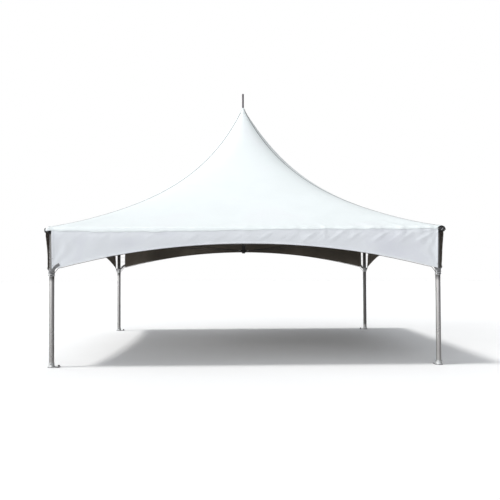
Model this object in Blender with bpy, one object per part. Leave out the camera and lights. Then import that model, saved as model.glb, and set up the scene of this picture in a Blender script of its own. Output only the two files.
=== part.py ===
"""High-peak frame marquee, 6.1 m square: tube frame, crossed cables, flying mast, tensioned top and arched valances.

Metres, +Z up, ground at z = 0, the tent's centre on the Z axis. The front faces -Y.
"""

import math

import bmesh
import bpy
import numpy as np
from mathutils import Matrix, Vector

# Clearance between pieces that touch on the real tent
GAP = 0.0003

# Plan and heights. The eave tubes run outside the legs
LEG_AT = 3.016
EAVE_AT = 3.068
EAVE_AXIS = 2.120
HUB_Z = 1.860
TIP_Z = 5.040

# Legs
LEG_RADIUS = 0.0385
LEG_WALL = 0.003
LEG_BORE = LEG_RADIUS + GAP
LEG_SPIGOT_RADIUS = 0.0350

# Foot plates, round at the leg's end
PLATE_THICK = 0.010
PLATE_REACH = 0.1265
PLATE_HALF = 0.0610
STAKE_AT = 0.112
STAKE_NECK_RADIUS = 0.010
STAKE_HEAD_RADIUS = 0.0135
STAKE_HEAD_TALL = 0.024
FOOT_SPIGOT_TALL = 0.090
COLLAR_TALL = 0.060
COLLAR_TOP_RADIUS = 0.0430
COLLAR_FOOT_RADIUS = 0.0520
COLLAR_FLARE_TALL = 0.034

# Eave tubes and their corner joints
TUBE_RADIUS = 0.0360
TUBE_WALL = 0.003
TUBE_SIDES = 24
FITTING_RADIUS = 0.0375
FITTING_END = 0.0410
NECK_RADIUS = 0.0370
SOCKET_REACH = 0.150
SOCKET_STEP = 0.0004
SOCKET_SPIGOT = 0.070
SOCKET_SPIGOT_RADIUS = 0.0325
SOCKET_RECESS = 0.014
SOCKET_RECESS_RADIUS = 0.0300
FITTING_DROP = 0.060
NECK_TOP = 0.012
LEG_SPIGOT = 0.090

# Roof membrane. It ends on the crown of the eave tubes
ROOF_HALF = EAVE_AT
ROOF_EDGE_Z = 2.1636
ROOF_PEAK_Z = 4.755
ROOF_CURVE = 1.57
HIP_SHARPENING = 0.8
SHEET = 0.005
ROOF_TOP_AT = 0.050
CAP_RIM_AT = 0.075
ROOF_ROWS = 14
ROOF_COLUMNS = 12

# Valances, wrapped over the eave tubes and leaning in towards the legs as they hang
VALANCE_HALF = 3.000
VALANCE_END_Z = 1.512
VALANCE_MID_Z = 1.902
VALANCE_LEAN = 0.0617
VALANCE_SHEET = 0.004
VALANCE_COLUMNS = 20
WRAP_RADIUS = 0.0388
WRAP_START = math.radians(89)
WRAP_STEPS = 4

# Hem cables
HEM_RADIUS = 0.004
HEM_ABOVE = 0.007
HEM_COLUMNS = 22

# Mast, hub, cap and spike
MAST_RADIUS = 0.0254
MAST_WALL = 0.003
MAST_TOP_Z = 4.640
HUB_CUP_RADIUS = 0.036
HUB_BORE_RADIUS = 0.0262
HUB_BASE = 0.050
HUB_FLOOR = 0.015
HUB_CUP_TALL = 0.110
HUB_EAR_REACH = 0.080
EAR_HALF_WIDE = 0.008
EAR_HALF_TALL = 0.016
SPIKE_RADIUS = 0.018
SPIKE_FLANGE = 0.010
SPIKE_SPIGOT = 0.080
SPIKE_SPIGOT_RADIUS = 0.0215
CAP_HOLE_RADIUS = 0.0186
CAP_TOP_RADIUS = 0.024
CAP_THICK = 0.004
CAP_TOP_Z = 4.745

# Cross cables, with a turnbuckle at the corner end of each
LUG_REACH = 0.120
LUG_Z = 2.100
CABLE_RADIUS = 0.006
JAW_RADIUS = 0.011
BARREL_RADIUS = 0.015
THREAD_RADIUS = 0.007

# Leg brackets and the straps that pull the valances to them
BRACKET_Z = 1.455
BRACKET_HALF_TALL = 0.048
BRACKET_RADIUS = 0.0445
BOLT_RADIUS = 0.0065
BOLT_OUT = 0.009
BOLT_BELOW = 0.034
STRAP_THICK = 0.003
STRAP_HALF_WIDE = 0.0125
STRAP_Z = 1.482

SIDES = ("front", "right", "back", "left")
CORNERS = ("front_right", "back_right", "back_left", "front_left")
QUARTER = math.pi / 2


def material(name, colour, roughness, metallic=0.0):
    made = bpy.data.materials.new(name)
    made.use_nodes = True
    shader = made.node_tree.nodes["Principled BSDF"]
    shader.inputs["Base Color"].default_value = (*colour, 1.0)
    shader.inputs["Roughness"].default_value = roughness
    shader.inputs["Metallic"].default_value = metallic
    return made


def node(name, mesh, finish, turn=0.0):
    """A named object that shows the mesh, turned about the tent's centre."""
    mesh.materials.clear()
    mesh.materials.append(finish)
    made = bpy.data.objects.new(name, mesh)
    made.rotation_euler = (0.0, 0.0, turn)
    bpy.context.scene.collection.objects.link(made)
    return made


def mesh_of(name, points, faces, smooth_angle=None):
    """A mesh with its faces turned outwards."""
    mesh = bpy.data.meshes.new(name)
    mesh.from_pydata([tuple(point) for point in points], [], faces)
    work = bmesh.new()
    work.from_mesh(mesh)
    bmesh.ops.recalc_face_normals(work, faces=work.faces)
    if work.calc_volume(signed=True) < 0:
        bmesh.ops.reverse_faces(work, faces=work.faces)
    work.to_mesh(mesh)
    work.free()
    if smooth_angle:
        mesh.shade_smooth()
        mesh.set_sharp_from_angle(angle=smooth_angle)
    return mesh


def rings(name, loops, closed_path, smooth_angle=None):
    """A body skinned through loops of equal length, either closed on itself or capped at both ends."""
    count = len(loops[0])
    points = [point for loop in loops for point in loop]
    spans = len(loops) if closed_path else len(loops) - 1
    faces = []
    for i in range(spans):
        here = i * count
        there = (i + 1) % len(loops) * count
        for j in range(count):
            k = (j + 1) % count
            faces.append((here + j, here + k, there + k, there + j))
    if not closed_path:
        faces.append(tuple(range(count)))
        faces.append(tuple(range(len(points) - count, len(points))))
    return mesh_of(name, points, faces, smooth_angle)


def circle(radius, z, sides):
    turns = [2 * math.pi * i / sides for i in range(sides)]
    return [(radius * math.cos(turn), radius * math.sin(turn), z) for turn in turns]


def round_tube(name, radius, wall, low, high, sides=TUBE_SIDES):
    loops = [
        circle(radius, low, sides),
        circle(radius, high, sides),
        circle(radius - wall, high, sides),
        circle(radius - wall, low, sides),
    ]
    return rings(name, loops, closed_path=True, smooth_angle=math.radians(40))


def turned(name, profile, sides):
    """A solid turned about Z from (radius, height) points."""
    loops = [circle(radius, z, sides) for radius, z in profile]
    return rings(name, loops, closed_path=False, smooth_angle=math.radians(35))


def block(name, low, high):
    x0, y0, z0 = low
    x1, y1, z1 = high
    base = [(x0, y0, z0), (x1, y0, z0), (x1, y1, z0), (x0, y1, z0)]
    top = [(x, y, z1) for x, y, _ in base]
    return rings(name, [base, top], closed_path=False)


def towards(start, end):
    """The placing that carries a shape standing on the origin along +Z to start, pointing at end."""
    direction = (Vector(end) - Vector(start)).normalized()
    return Matrix.Translation(start) @ direction.to_track_quat("Z", "Y").to_matrix().to_4x4()


def moved(mesh, placing):
    mesh.transform(placing)
    return mesh


def fused(name, meshes, cuts=()):
    """One body from overlapping shapes, less the cuts."""
    scene = bpy.context.scene.collection
    helpers = [bpy.data.objects.new("helper", mesh) for mesh in (*meshes, *cuts)]
    for helper in helpers:
        scene.objects.link(helper)
    base = helpers[0]
    for index, helper in enumerate(helpers[1:], start=1):
        step = base.modifiers.new("join", "BOOLEAN")
        step.operation = "UNION" if index < len(meshes) else "DIFFERENCE"
        step.object = helper
    bpy.context.view_layer.update()
    graph = bpy.context.evaluated_depsgraph_get()
    made = bpy.data.meshes.new_from_object(base.evaluated_get(graph))
    made.name = name
    for helper in helpers:
        bpy.data.objects.remove(helper)
    made.shade_smooth()
    made.set_sharp_from_angle(angle=math.radians(35))
    return made


def roof_z(reach):
    """Height of the membrane where its level line crosses the middle of a side, at this distance from the mast."""
    fall = np.exp(-ROOF_CURVE)
    share = (np.exp(-ROOF_CURVE * reach / ROOF_HALF) - fall) / (1 - fall)
    return ROOF_EDGE_Z + (ROOF_PEAK_Z - ROOF_EDGE_Z) * share


def roof_slope(reach):
    fall = np.exp(-ROOF_CURVE)
    drop = (ROOF_PEAK_Z - ROOF_EDGE_Z) * ROOF_CURVE / ROOF_HALF / (1 - fall)
    return drop * np.exp(-ROOF_CURVE * reach / ROOF_HALF)


def level_line(reach, angle):
    """Distance from the mast along the angle: a circle near the peak that turns into the square of the eaves.

    The hip lies at `hip` times the reach along both axes, from 0.707 on a circle to 1 on a square.
    """
    flat = math.sqrt(0.5)
    hip = flat + (1 - flat) * (reach / ROOF_HALF) ** HIP_SHARPENING
    squareness = np.maximum(2 * hip**2 - 1, 0) / hip**4
    return reach * np.sqrt(2 / (1 + np.sqrt(np.maximum(1 - squareness * np.sin(2 * angle) ** 2, 0))))


def roof_panel_mesh():
    """The front gore, from hip to hip: a sheet as thick as SHEET across its slope."""
    shares = np.linspace(0, 1, ROOF_ROWS)
    reaches = np.concatenate([[ROOF_TOP_AT], CAP_RIM_AT + (ROOF_HALF - CAP_RIM_AT) * shares**1.6])
    angles = np.linspace(-QUARTER / 2, QUARTER / 2, ROOF_COLUMNS + 1)
    reach, angle = np.meshgrid(reaches, angles, indexing="ij")
    radius = level_line(reach, angle)
    seam = GAP * 0.8
    top = np.stack([radius * np.sin(angle), -radius * np.cos(angle) - seam, roof_z(reach)], axis=-1)
    under = top.copy()
    under[..., 2] -= SHEET * np.hypot(1, roof_slope(reach))
    rows, columns = reach.shape
    points = np.concatenate([top.reshape(-1, 3), under.reshape(-1, 3)])
    other = rows * columns
    faces = []
    for i in range(rows - 1):
        for j in range(columns - 1):
            a = i * columns + j
            quad = (a, a + columns, a + columns + 1, a + 1)
            faces.append(quad)
            faces.append(tuple(other + corner for corner in reversed(quad)))
    rim = [j for j in range(columns)]
    rim += [i * columns + columns - 1 for i in range(1, rows)]
    rim += [(rows - 1) * columns + j for j in range(columns - 2, -1, -1)]
    rim += [i * columns for i in range(rows - 2, 0, -1)]
    for here, there in zip(rim, rim[1:] + rim[:1]):
        faces.append((here, there, other + there, other + here))
    return mesh_of("roof_panel", points, faces, math.radians(30))


def valance_inner(z):
    """Distance of the hanging valance's inner face from the tent's centre: a plane tangent to the wrap."""
    lean = math.atan(VALANCE_LEAN)
    tangent_z = EAVE_AXIS - WRAP_RADIUS * math.sin(lean)
    return EAVE_AT + WRAP_RADIUS * math.cos(lean) - VALANCE_LEAN * (tangent_z - z)


def valance_bottom(x):
    """The arched hem, an arc of a circle through its two ends and its middle."""
    rise = VALANCE_MID_Z - VALANCE_END_Z
    radius = (VALANCE_HALF**2 + rise**2) / (2 * rise)
    return VALANCE_MID_Z - radius + math.sqrt(radius**2 - x**2)


def valance_mesh():
    """The front valance: from the crown of the eave tube round its outer side, then straight down to the hem."""
    lean = math.atan(VALANCE_LEAN)
    turns = [WRAP_START - (WRAP_START + lean) * step / WRAP_STEPS for step in range(WRAP_STEPS + 1)]
    outside = WRAP_RADIUS + VALANCE_SHEET
    thick = VALANCE_SHEET / math.cos(lean)
    loops = []
    for step in range(VALANCE_COLUMNS + 1):
        x = VALANCE_HALF * (2 * step / VALANCE_COLUMNS - 1)
        low = valance_bottom(x)
        inner = [(x, -EAVE_AT - WRAP_RADIUS * math.cos(t), EAVE_AXIS + WRAP_RADIUS * math.sin(t)) for t in turns]
        outer = [(x, -EAVE_AT - outside * math.cos(t), EAVE_AXIS + outside * math.sin(t)) for t in turns]
        hem = [(x, -valance_inner(low), low), (x, -valance_inner(low) - thick, low)]
        loops.append(inner + hem + outer[::-1])
    return rings("valance", loops, closed_path=False, smooth_angle=math.radians(35))


def hem_cable_mesh():
    """The cable along the front valance's hem, behind the cloth, from one leg's bracket to the other's."""
    on_bracket = LEG_AT + BRACKET_RADIUS + GAP + HEM_RADIUS
    leave = 2.900
    path = []
    for step in range(HEM_COLUMNS + 1):
        x = leave * (2 * step / HEM_COLUMNS - 1)
        z = valance_bottom(x) + HEM_ABOVE
        path.append(Vector((x, -valance_inner(z) + HEM_RADIUS + 2 * GAP, z)))
    for side in (-1, 1):
        ends = [
            Vector((side * (LEG_AT - BRACKET_RADIUS), -on_bracket, BRACKET_Z - 0.006)),
            Vector((side * LEG_AT, -on_bracket, BRACKET_Z - 0.012)),
        ]
        path = path + ends if side > 0 else ends[::-1] + path
    loops = []
    for index, point in enumerate(path):
        before = path[max(index - 1, 0)]
        after = path[min(index + 1, len(path) - 1)]
        along = (after - before).normalized()
        across = along.cross(Vector((0, 1, 0))).normalized()
        out = across.cross(along)
        turns = [2 * math.pi * i / 8 for i in range(8)]
        loops.append([point + HEM_RADIUS * (across * math.cos(t) + out * math.sin(t)) for t in turns])
    return rings("hem_cable", loops, closed_path=False, smooth_angle=math.radians(50))


def base_plate_mesh():
    """A foot plate that runs to +X from its leg and is round about the leg, with spigot, collar and stake head."""
    turns = [QUARTER + math.pi * step / 16 for step in range(17)]
    outline = [(PLATE_HALF * math.cos(turn), PLATE_HALF * math.sin(turn)) for turn in turns]
    outline += [(PLATE_REACH, -PLATE_HALF), (PLATE_REACH, PLATE_HALF)]
    low = [(x, y, 0) for x, y in outline]
    high = [(x, y, PLATE_THICK) for x, y in outline]
    plate = rings("plate", [low, high], closed_path=False)
    inside = PLATE_THICK / 2
    spigot = turned("spigot", [(LEG_SPIGOT_RADIUS, inside), (LEG_SPIGOT_RADIUS, PLATE_THICK + FOOT_SPIGOT_TALL)], TUBE_SIDES)
    collar = rings(
        "collar",
        [
            circle(COLLAR_FOOT_RADIUS, inside, TUBE_SIDES),
            circle(COLLAR_FOOT_RADIUS, PLATE_THICK + 0.002, TUBE_SIDES),
            circle(COLLAR_TOP_RADIUS + 0.003, PLATE_THICK + COLLAR_FLARE_TALL / 2, TUBE_SIDES),
            circle(COLLAR_TOP_RADIUS, PLATE_THICK + COLLAR_FLARE_TALL, TUBE_SIDES),
            circle(COLLAR_TOP_RADIUS, PLATE_THICK + COLLAR_TALL, TUBE_SIDES),
            circle(LEG_BORE, PLATE_THICK + COLLAR_TALL, TUBE_SIDES),
            circle(LEG_BORE, inside, TUBE_SIDES),
        ],
        closed_path=True,
    )
    stake = turned(
        "stake_head",
        [
            (STAKE_NECK_RADIUS, inside),
            (STAKE_NECK_RADIUS, PLATE_THICK + 0.004),
            (STAKE_HEAD_RADIUS, PLATE_THICK + 0.008),
            (STAKE_HEAD_RADIUS, PLATE_THICK + STAKE_HEAD_TALL),
        ],
        12,
    )
    stake.transform(Matrix.Translation((STAKE_AT, 0, 0)))
    return fused("base_plate", [plate, spigot, collar, stake])


def corner_fitting_mesh():
    """The front right corner joint, about the leg's axis at the eave tubes' height. Inwards is -X and +Y."""
    outset = EAVE_AT - LEG_AT
    crossing = Vector((outset, -outset, 0))
    sockets = []
    recesses = []
    for roll, axis in enumerate(((-1, 0, 0), (0, 1, 0))):
        inward = Vector(axis)
        radius = FITTING_RADIUS - roll * SOCKET_STEP
        mouth = crossing - inward * FITTING_END
        body = turned(
            "socket",
            [
                (radius, 0),
                (radius, FITTING_END + SOCKET_REACH),
                (SOCKET_SPIGOT_RADIUS, FITTING_END + SOCKET_REACH),
                (SOCKET_SPIGOT_RADIUS, FITTING_END + SOCKET_REACH + SOCKET_SPIGOT),
            ],
            TUBE_SIDES,
        )
        body.transform(Matrix.Rotation((roll + 0.5) * math.pi / TUBE_SIDES, 4, "Z"))
        sockets.append(moved(body, towards(mouth, mouth + inward)))
        recess = turned("recess", [(SOCKET_RECESS_RADIUS, -0.01), (SOCKET_RECESS_RADIUS, SOCKET_RECESS)], TUBE_SIDES)
        recesses.append(moved(recess, towards(mouth, mouth + inward)))
    neck = turned("neck", [(NECK_RADIUS, -FITTING_DROP), (NECK_RADIUS, NECK_TOP)], TUBE_SIDES)
    neck.transform(Matrix.Rotation(0.25 * math.pi / TUBE_SIDES, 4, "Z"))
    spigot = turned("spigot", [(LEG_SPIGOT_RADIUS, -FITTING_DROP - LEG_SPIGOT), (LEG_SPIGOT_RADIUS, -FITTING_DROP / 2)], TUBE_SIDES)
    lug = block("lug", (-EAR_HALF_WIDE, -EAR_HALF_TALL, 0.01), (EAR_HALF_WIDE, EAR_HALF_TALL, LUG_REACH))
    start = Vector((0, 0, LUG_Z - EAVE_AXIS))
    hub = Vector((-LEG_AT, LEG_AT, HUB_Z - EAVE_AXIS))
    lug.transform(towards(start, hub))
    return fused("corner_fitting", [*sockets, neck, spigot, lug], recesses)


def hub_mesh():
    """The hub about the mast's axis, in world heights, with an ear for each cable."""
    cup = turned(
        "cup",
        [
            (HUB_CUP_RADIUS * 0.6, HUB_Z - HUB_BASE),
            (HUB_CUP_RADIUS, HUB_Z - HUB_BASE + 0.012),
            (HUB_CUP_RADIUS, HUB_Z + HUB_CUP_TALL),
            (HUB_BORE_RADIUS, HUB_Z + HUB_CUP_TALL),
            (HUB_BORE_RADIUS, HUB_Z - HUB_FLOOR),
        ],
        TUBE_SIDES,
    )
    ears = []
    for corner in range(4):
        ear = block("ear", (-EAR_HALF_WIDE, -EAR_HALF_TALL, HUB_CUP_RADIUS - 0.004), (EAR_HALF_WIDE, EAR_HALF_TALL, HUB_EAR_REACH))
        turn = Matrix.Rotation(corner * QUARTER, 4, "Z")
        ears.append(moved(ear, turn @ towards((0, 0, HUB_Z), (LEG_AT, -LEG_AT, LUG_Z))))
    return fused("mast_hub", [cup, *ears])


def cable_mesh():
    """The cable from the hub to the front right corner: ferrule, wire, then the turnbuckle and its jaw."""
    hub = Vector((0, 0, HUB_Z))
    corner = Vector((LEG_AT, -LEG_AT, LUG_Z))
    whole = (corner - hub).length
    start = HUB_EAR_REACH + GAP
    end = whole - LUG_REACH - GAP
    profile = [
        (JAW_RADIUS, start),
        (JAW_RADIUS, start + 0.055),
        (CABLE_RADIUS, start + 0.065),
        (CABLE_RADIUS, end - 0.420),
        (THREAD_RADIUS, end - 0.405),
        (THREAD_RADIUS, end - 0.340),
        (BARREL_RADIUS, end - 0.330),
        (BARREL_RADIUS, end - 0.120),
        (THREAD_RADIUS, end - 0.110),
        (THREAD_RADIUS, end - 0.050),
        (JAW_RADIUS, end - 0.040),
        (JAW_RADIUS, end),
    ]
    return moved(turned("cross_cable", profile, 10), towards(hub, corner))


def bracket_mesh():
    """The clamp round a leg, about the leg's axis: a collar with a bolt head on each outer side."""
    low = BRACKET_Z - BRACKET_HALF_TALL
    high = BRACKET_Z + BRACKET_HALF_TALL
    collar = rings(
        "collar",
        [
            circle(BRACKET_RADIUS, low, TUBE_SIDES),
            circle(BRACKET_RADIUS, high, TUBE_SIDES),
            circle(LEG_BORE, high, TUBE_SIDES),
            circle(LEG_BORE, low, TUBE_SIDES),
        ],
        closed_path=True,
        smooth_angle=math.radians(40),
    )
    bolts = []
    for axis in ((1, 0, 0), (0, -1, 0)):
        outward = Vector(axis)
        foot = outward * BRACKET_RADIUS + Vector((0, 0, BRACKET_Z - BOLT_BELOW))
        bolt = turned("bolt", [(BOLT_RADIUS, -0.004), (BOLT_RADIUS, BOLT_OUT)], 6)
        bolts.append(moved(bolt, towards(foot, foot + outward)))
    return fused("tension_bracket", [collar, *bolts])


def strap_mesh():
    """The webbing at the front right leg: from the front valance's lower corner, round the bracket, to the right one's."""
    on_cloth = [(LEG_AT - 0.116, 1.606), (LEG_AT - 0.066, 1.566), (LEG_AT - 0.031, 1.494)]
    on_bracket = [math.radians(turn) for turn in (0, 12.5, 25, 37.5)]
    corners = ((0, 1), (0, -1), (1, -1), (1, 1))
    front = []
    for x, height in on_cloth:
        loop = []
        for out, side in corners:
            z = height + side * STRAP_HALF_WIDE
            loop.append((x, -valance_inner(z) - VALANCE_SHEET - 2 * GAP - out * STRAP_THICK, z))
        front.append(loop)
    for turn in on_bracket:
        loop = []
        for out, side in corners:
            radius = BRACKET_RADIUS + 2 * GAP + out * STRAP_THICK
            z = STRAP_Z + side * STRAP_HALF_WIDE
            loop.append((LEG_AT + radius * math.sin(turn), -LEG_AT - radius * math.cos(turn), z))
        front.append(loop)
    mirrored = [[(-y, -x, z) for x, y, z in loop] for loop in reversed(front)]
    return rings("corner_strap", front + mirrored, closed_path=False)


def level_ring(reach, z, sides):
    """The membrane's level line as a ring of points, so that the cap has the membrane's own plan."""
    angles = np.arange(sides) * 2 * math.pi / sides
    radii = level_line(reach, angles)
    return [(radius * math.cos(angle), radius * math.sin(angle), z) for radius, angle in zip(radii, angles)]


def peak_cap_mesh():
    """A thin flared cone over the gathered top of the membrane, with a hole for the spike."""
    clear = 2 * GAP
    sides = 4 * ROOF_COLUMNS
    rim_z = float(roof_z(CAP_RIM_AT)) + clear
    loops = [
        circle(CAP_TOP_RADIUS, CAP_TOP_Z, sides),
        level_ring(CAP_RIM_AT, rim_z + CAP_THICK, sides),
        level_ring(CAP_RIM_AT, rim_z, sides),
        level_ring(ROOF_TOP_AT, float(roof_z(ROOF_TOP_AT)) + clear, sides),
        circle(CAP_HOLE_RADIUS, CAP_TOP_Z - 0.030, sides),
        circle(CAP_HOLE_RADIUS, CAP_TOP_Z, sides),
    ]
    return rings("peak_cap", loops, closed_path=True, smooth_angle=math.radians(35))


def spike_mesh():
    """A rod that stands on the mast's top, with a spigot inside it and a domed tip."""
    foot = MAST_TOP_Z + GAP
    profile = [
        (SPIKE_SPIGOT_RADIUS, foot - SPIKE_SPIGOT),
        (SPIKE_SPIGOT_RADIUS, foot),
        (MAST_RADIUS, foot),
        (MAST_RADIUS, foot + SPIKE_FLANGE),
        (SPIKE_RADIUS, foot + SPIKE_FLANGE),
        (SPIKE_RADIUS, TIP_Z - SPIKE_RADIUS / 2),
        (SPIKE_RADIUS * 0.8, TIP_Z - SPIKE_RADIUS / 6),
        (SPIKE_RADIUS * 0.4, TIP_Z),
    ]
    return turned("mast_spike", profile, 16)


def at_corner(mesh, height=0.0):
    """The mesh of one corner's piece, carried from the leg's axis to the front right corner."""
    mesh.transform(Matrix.Translation((LEG_AT, -LEG_AT, height)))
    return mesh


def build():
    for old in list(bpy.data.objects):
        bpy.data.objects.remove(old)

    aluminium = material("mill_aluminium", (0.62, 0.61, 0.59), 0.35, 1.0)
    steel = material("galvanised_steel", (0.45, 0.45, 0.44), 0.5, 1.0)
    wire = material("wire_rope", (0.22, 0.22, 0.23), 0.5, 0.8)
    vinyl = material("white_vinyl", (0.90, 0.92, 0.92), 0.4)
    webbing = material("grey_webbing", (0.45, 0.45, 0.46), 0.8)
    dark = material("dark_spike", (0.10, 0.09, 0.11), 0.45, 0.6)

    leg_top = EAVE_AXIS - FITTING_DROP - GAP
    leg = at_corner(round_tube("leg", LEG_RADIUS, LEG_WALL, PLATE_THICK + GAP, leg_top))
    fitting = at_corner(corner_fitting_mesh(), EAVE_AXIS)
    bracket = at_corner(bracket_mesh())
    strap = strap_mesh()
    cable = cable_mesh()
    for index, corner in enumerate(CORNERS):
        turn = index * QUARTER
        node(f"leg_{corner}", leg, aluminium, turn)
        node(f"corner_fitting_{corner}", fitting, steel, turn)
        node(f"tension_bracket_{corner}", bracket, steel, turn)
        node(f"corner_strap_{corner}", strap, webbing, turn)
        node(f"cross_cable_{corner}", cable, wire, turn)

    plate = base_plate_mesh()
    plate_turns = {"front_right": 1, "back_right": 2, "back_left": 0, "front_left": 0}
    for index, corner in enumerate(CORNERS):
        foot = node(f"base_plate_{corner}", plate, steel, plate_turns[corner] * QUARTER)
        foot.location = Matrix.Rotation(index * QUARTER, 4, "Z") @ Vector((LEG_AT, -LEG_AT, 0))

    beam_half = EAVE_AT - SOCKET_REACH - GAP
    beam = round_tube("eave_beam", TUBE_RADIUS, TUBE_WALL, -beam_half, beam_half)
    beam.transform(Matrix.Translation((0, -EAVE_AT, EAVE_AXIS)) @ Matrix.Rotation(QUARTER, 4, "Y"))
    panel = roof_panel_mesh()
    valance = valance_mesh()
    hem = hem_cable_mesh()
    for index, side in enumerate(SIDES):
        turn = index * QUARTER
        node(f"eave_beam_{side}", beam, aluminium, turn)
        node(f"roof_panel_{side}", panel, vinyl, turn)
        node(f"valance_{side}", valance, vinyl, turn)
        node(f"hem_cable_{side}", hem, wire, turn)

    mast_foot = HUB_Z - HUB_FLOOR + GAP
    node("mast", round_tube("mast", MAST_RADIUS, MAST_WALL, mast_foot, MAST_TOP_Z), aluminium)
    node("mast_hub", hub_mesh(), steel)
    node("peak_cap", peak_cap_mesh(), vinyl)
    node("mast_spike", spike_mesh(), dark)


build()
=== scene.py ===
"""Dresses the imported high-peak marquee: the tensioned top, the arched valances, webbing, cables and finishes.

Metres, +Z up, the ground at z = 0, the tent's centre on the Z axis. The front faces -Y.
"""

import math

import bpy
import numpy as np
from bpy.props import FloatProperty, FloatVectorProperty, PointerProperty
from mathutils import Matrix, Vector


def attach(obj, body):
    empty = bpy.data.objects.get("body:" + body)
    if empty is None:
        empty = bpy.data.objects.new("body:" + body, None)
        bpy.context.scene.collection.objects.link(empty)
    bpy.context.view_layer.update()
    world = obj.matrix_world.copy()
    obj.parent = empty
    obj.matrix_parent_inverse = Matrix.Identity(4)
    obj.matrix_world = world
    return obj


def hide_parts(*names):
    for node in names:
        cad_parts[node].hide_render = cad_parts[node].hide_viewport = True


bl_info = {
    "name": "High-peak marquee",
    "version": (1, 0, 0),
    "blender": (4, 5, 0),
    "location": "3D View > Sidebar > Marquee",
    "description": "Makes the fabric, rigging and finishes of a cross-cable frame marquee",
    "category": "Add Mesh",
}

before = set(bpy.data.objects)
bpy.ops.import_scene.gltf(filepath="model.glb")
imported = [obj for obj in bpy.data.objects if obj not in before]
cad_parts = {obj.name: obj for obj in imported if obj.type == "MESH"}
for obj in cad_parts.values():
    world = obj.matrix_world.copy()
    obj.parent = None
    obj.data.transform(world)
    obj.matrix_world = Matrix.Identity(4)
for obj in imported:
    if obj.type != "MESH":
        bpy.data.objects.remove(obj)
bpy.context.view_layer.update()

SIDES = ("front", "right", "back", "left")
CORNERS = ("front_right", "back_right", "back_left", "front_left")
BODY = "root"

# The frame's own sizes
LEG_AT = 3.016
LEG_RADIUS = 0.0385
LEG_LOW = 0.0103
LEG_HIGH = 2.0597
EAVE_AT = 3.068
EAVE_AXIS = 2.120
EAVE_HALF = 2.9177
TUBE_RADIUS = 0.0360
TUBE_WALL = 0.003
MAST_RADIUS = 0.0254
MAST_LOW = 1.8453
SOCKET_RADII = (0.0375, 0.0371)
SOCKET_OUT = 0.0410
SOCKET_LONG = 0.1910
PAD_REACHES = (0.060, 0.125)
NECK_RADIUS = 0.0370
NECK_LOW = 0.0600
LUG_REACH = 0.120
PLATE_TURNS = {"front_right": 1, "back_right": 2, "back_left": 0, "front_left": 0}
PLATE_HALF = 0.0610
PLATE_REACH = 0.1265
PLATE_THICK = 0.010
STAKE_AT = 0.112
HUB_Z = 1.860
LUG_Z = 2.100
MAST_TOP_Z = 4.640

# Sides of the turned pieces, and the free room between a part and the tube that it sits on
ROUND_SIDES = 64
FIT_GAP = 0.0003

# Heights from which tubes are rougher and darkened by painted shade: on the legs under the valances, and on the
# back right leg and the mast
SHADED_FROM_Z = 1.35
SHADED_LEG = "back_right"
SHADED_LEG_FROM_Z = 0.12

# The membrane's shape
ROOF_EDGE_Z = 2.1636
ROOF_PEAK_Z = 4.755
ROOF_CURVE = 1.57
HIP_SHARPENING = 0.8
ROOF_TOP_AT = 0.050
CAP_RIM_AT = 0.075
ROOF_LIFT = 0.0036
TOP_WRAP_RADIUS = 0.0446
LAP_HALF = 3.004
TAB_HALF = 3.086
TAB_PROUD = 0.0115
FLAP_TURN = math.radians(27)
FLAP_END = math.radians(5)
CORNER_FADE = 0.10

# The top's edge, in steps from the eave's crest: first round the tube, then hanging with its welded lap
EAVE_SLOPE = 0.3482
NARROW_TURN = math.radians(38)
WRAP_SHARE = 0.55
HANG_SHARE = 0.45
EDGE_STEPS = np.concatenate([np.linspace(0, WRAP_SHARE, 9), [0.62, 0.66, 0.70, 0.80, 0.90, 0.97, 1.0]])
LAP_STEPS = (0.66, 0.70)
LAP_PROUD = 0.0009
RIM_STEP = 0.98
TOP_COLUMNS = 181

# The cone over the peak, as (radius, height), with the hips' tape on two face columns of each quarter
CONE_PROFILE = (
    (0.0190, 4.7380),
    (0.0190, 4.7470),
    (0.0222, 4.7478),
    (0.0246, 4.7440),
    (0.0262, 4.7390),
    (0.0340, 4.7210),
    (0.0450, 4.6970),
    (0.0560, 4.6745),
    (0.0670, 4.6535),
    (0.0745, 4.6395),
    (0.0775, 4.6365),
    (0.0786, 4.6335),
    (0.0780, 4.6305),
    (0.0755, 4.6325),
)
CONE_SIDES = 64
TAPE_COLUMNS = (7, 8)

# The valances' shape
VALANCE_HALF = 3.000
VALANCE_ENDS = {
    "front": (-3.000, 3.000),
    "right": (-3.000, 3.000),
    "back": (-2.950, 2.885),
    "left": (-3.000, 3.000),
}
VALANCE_END_Z = 1.512
VALANCE_MID_Z = 1.902
VALANCE_LEAN = 0.0470
WRAP_RADIUS = 0.0388
VALANCE_OUT = 0.0022
VALANCE_START = math.radians(52)
WELD_LINE_Z = 2.030
HEM_BAND = 0.030
END_BAND = 0.026
BAND_PROUD = 0.0016
CREASE_SHARE = 0.86

# Brackets and straps, and the legs at which a strap passes behind the front valance
BRACKET_Z = 1.455
BRACKET_RADIUS = 0.0445
BRACKET_HALF_TALL = 0.048
STRAP_Z = 1.482
STRAP_HALF_WIDE = 0.0230
STRAP_PROUD = 0.0075
STRAP_BEHIND = ("front_right",)

# Ropes: how far a strand's groove goes in, as a share of the radius, and the length of one turn of the lay
HEM_GROOVE = 0.14
HEM_LAY = 0.055
CROSS_RADIUS = 0.0058
CROSS_GROOVE = 0.16
CROSS_LAY = 0.085
CROSS_FROM_HUB = 0.0803
CROSS_FROM_LUG = 0.1203

# Eyelets as (radius, depth), and the shock cord through them where a valance ends short of the leg
EYELET_RING = ((0.0048, 0.0), (0.0078, 0.0), (0.0084, 0.0008), (0.0078, 0.0016), (0.0048, 0.0016))
EYELET_HEIGHTS = (1.575, 1.680, 1.785, 1.890, 1.995)
EYELET_IN = 0.013
CORD_RADIUS = 0.0019
LACED_GAP = 0.05

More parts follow.
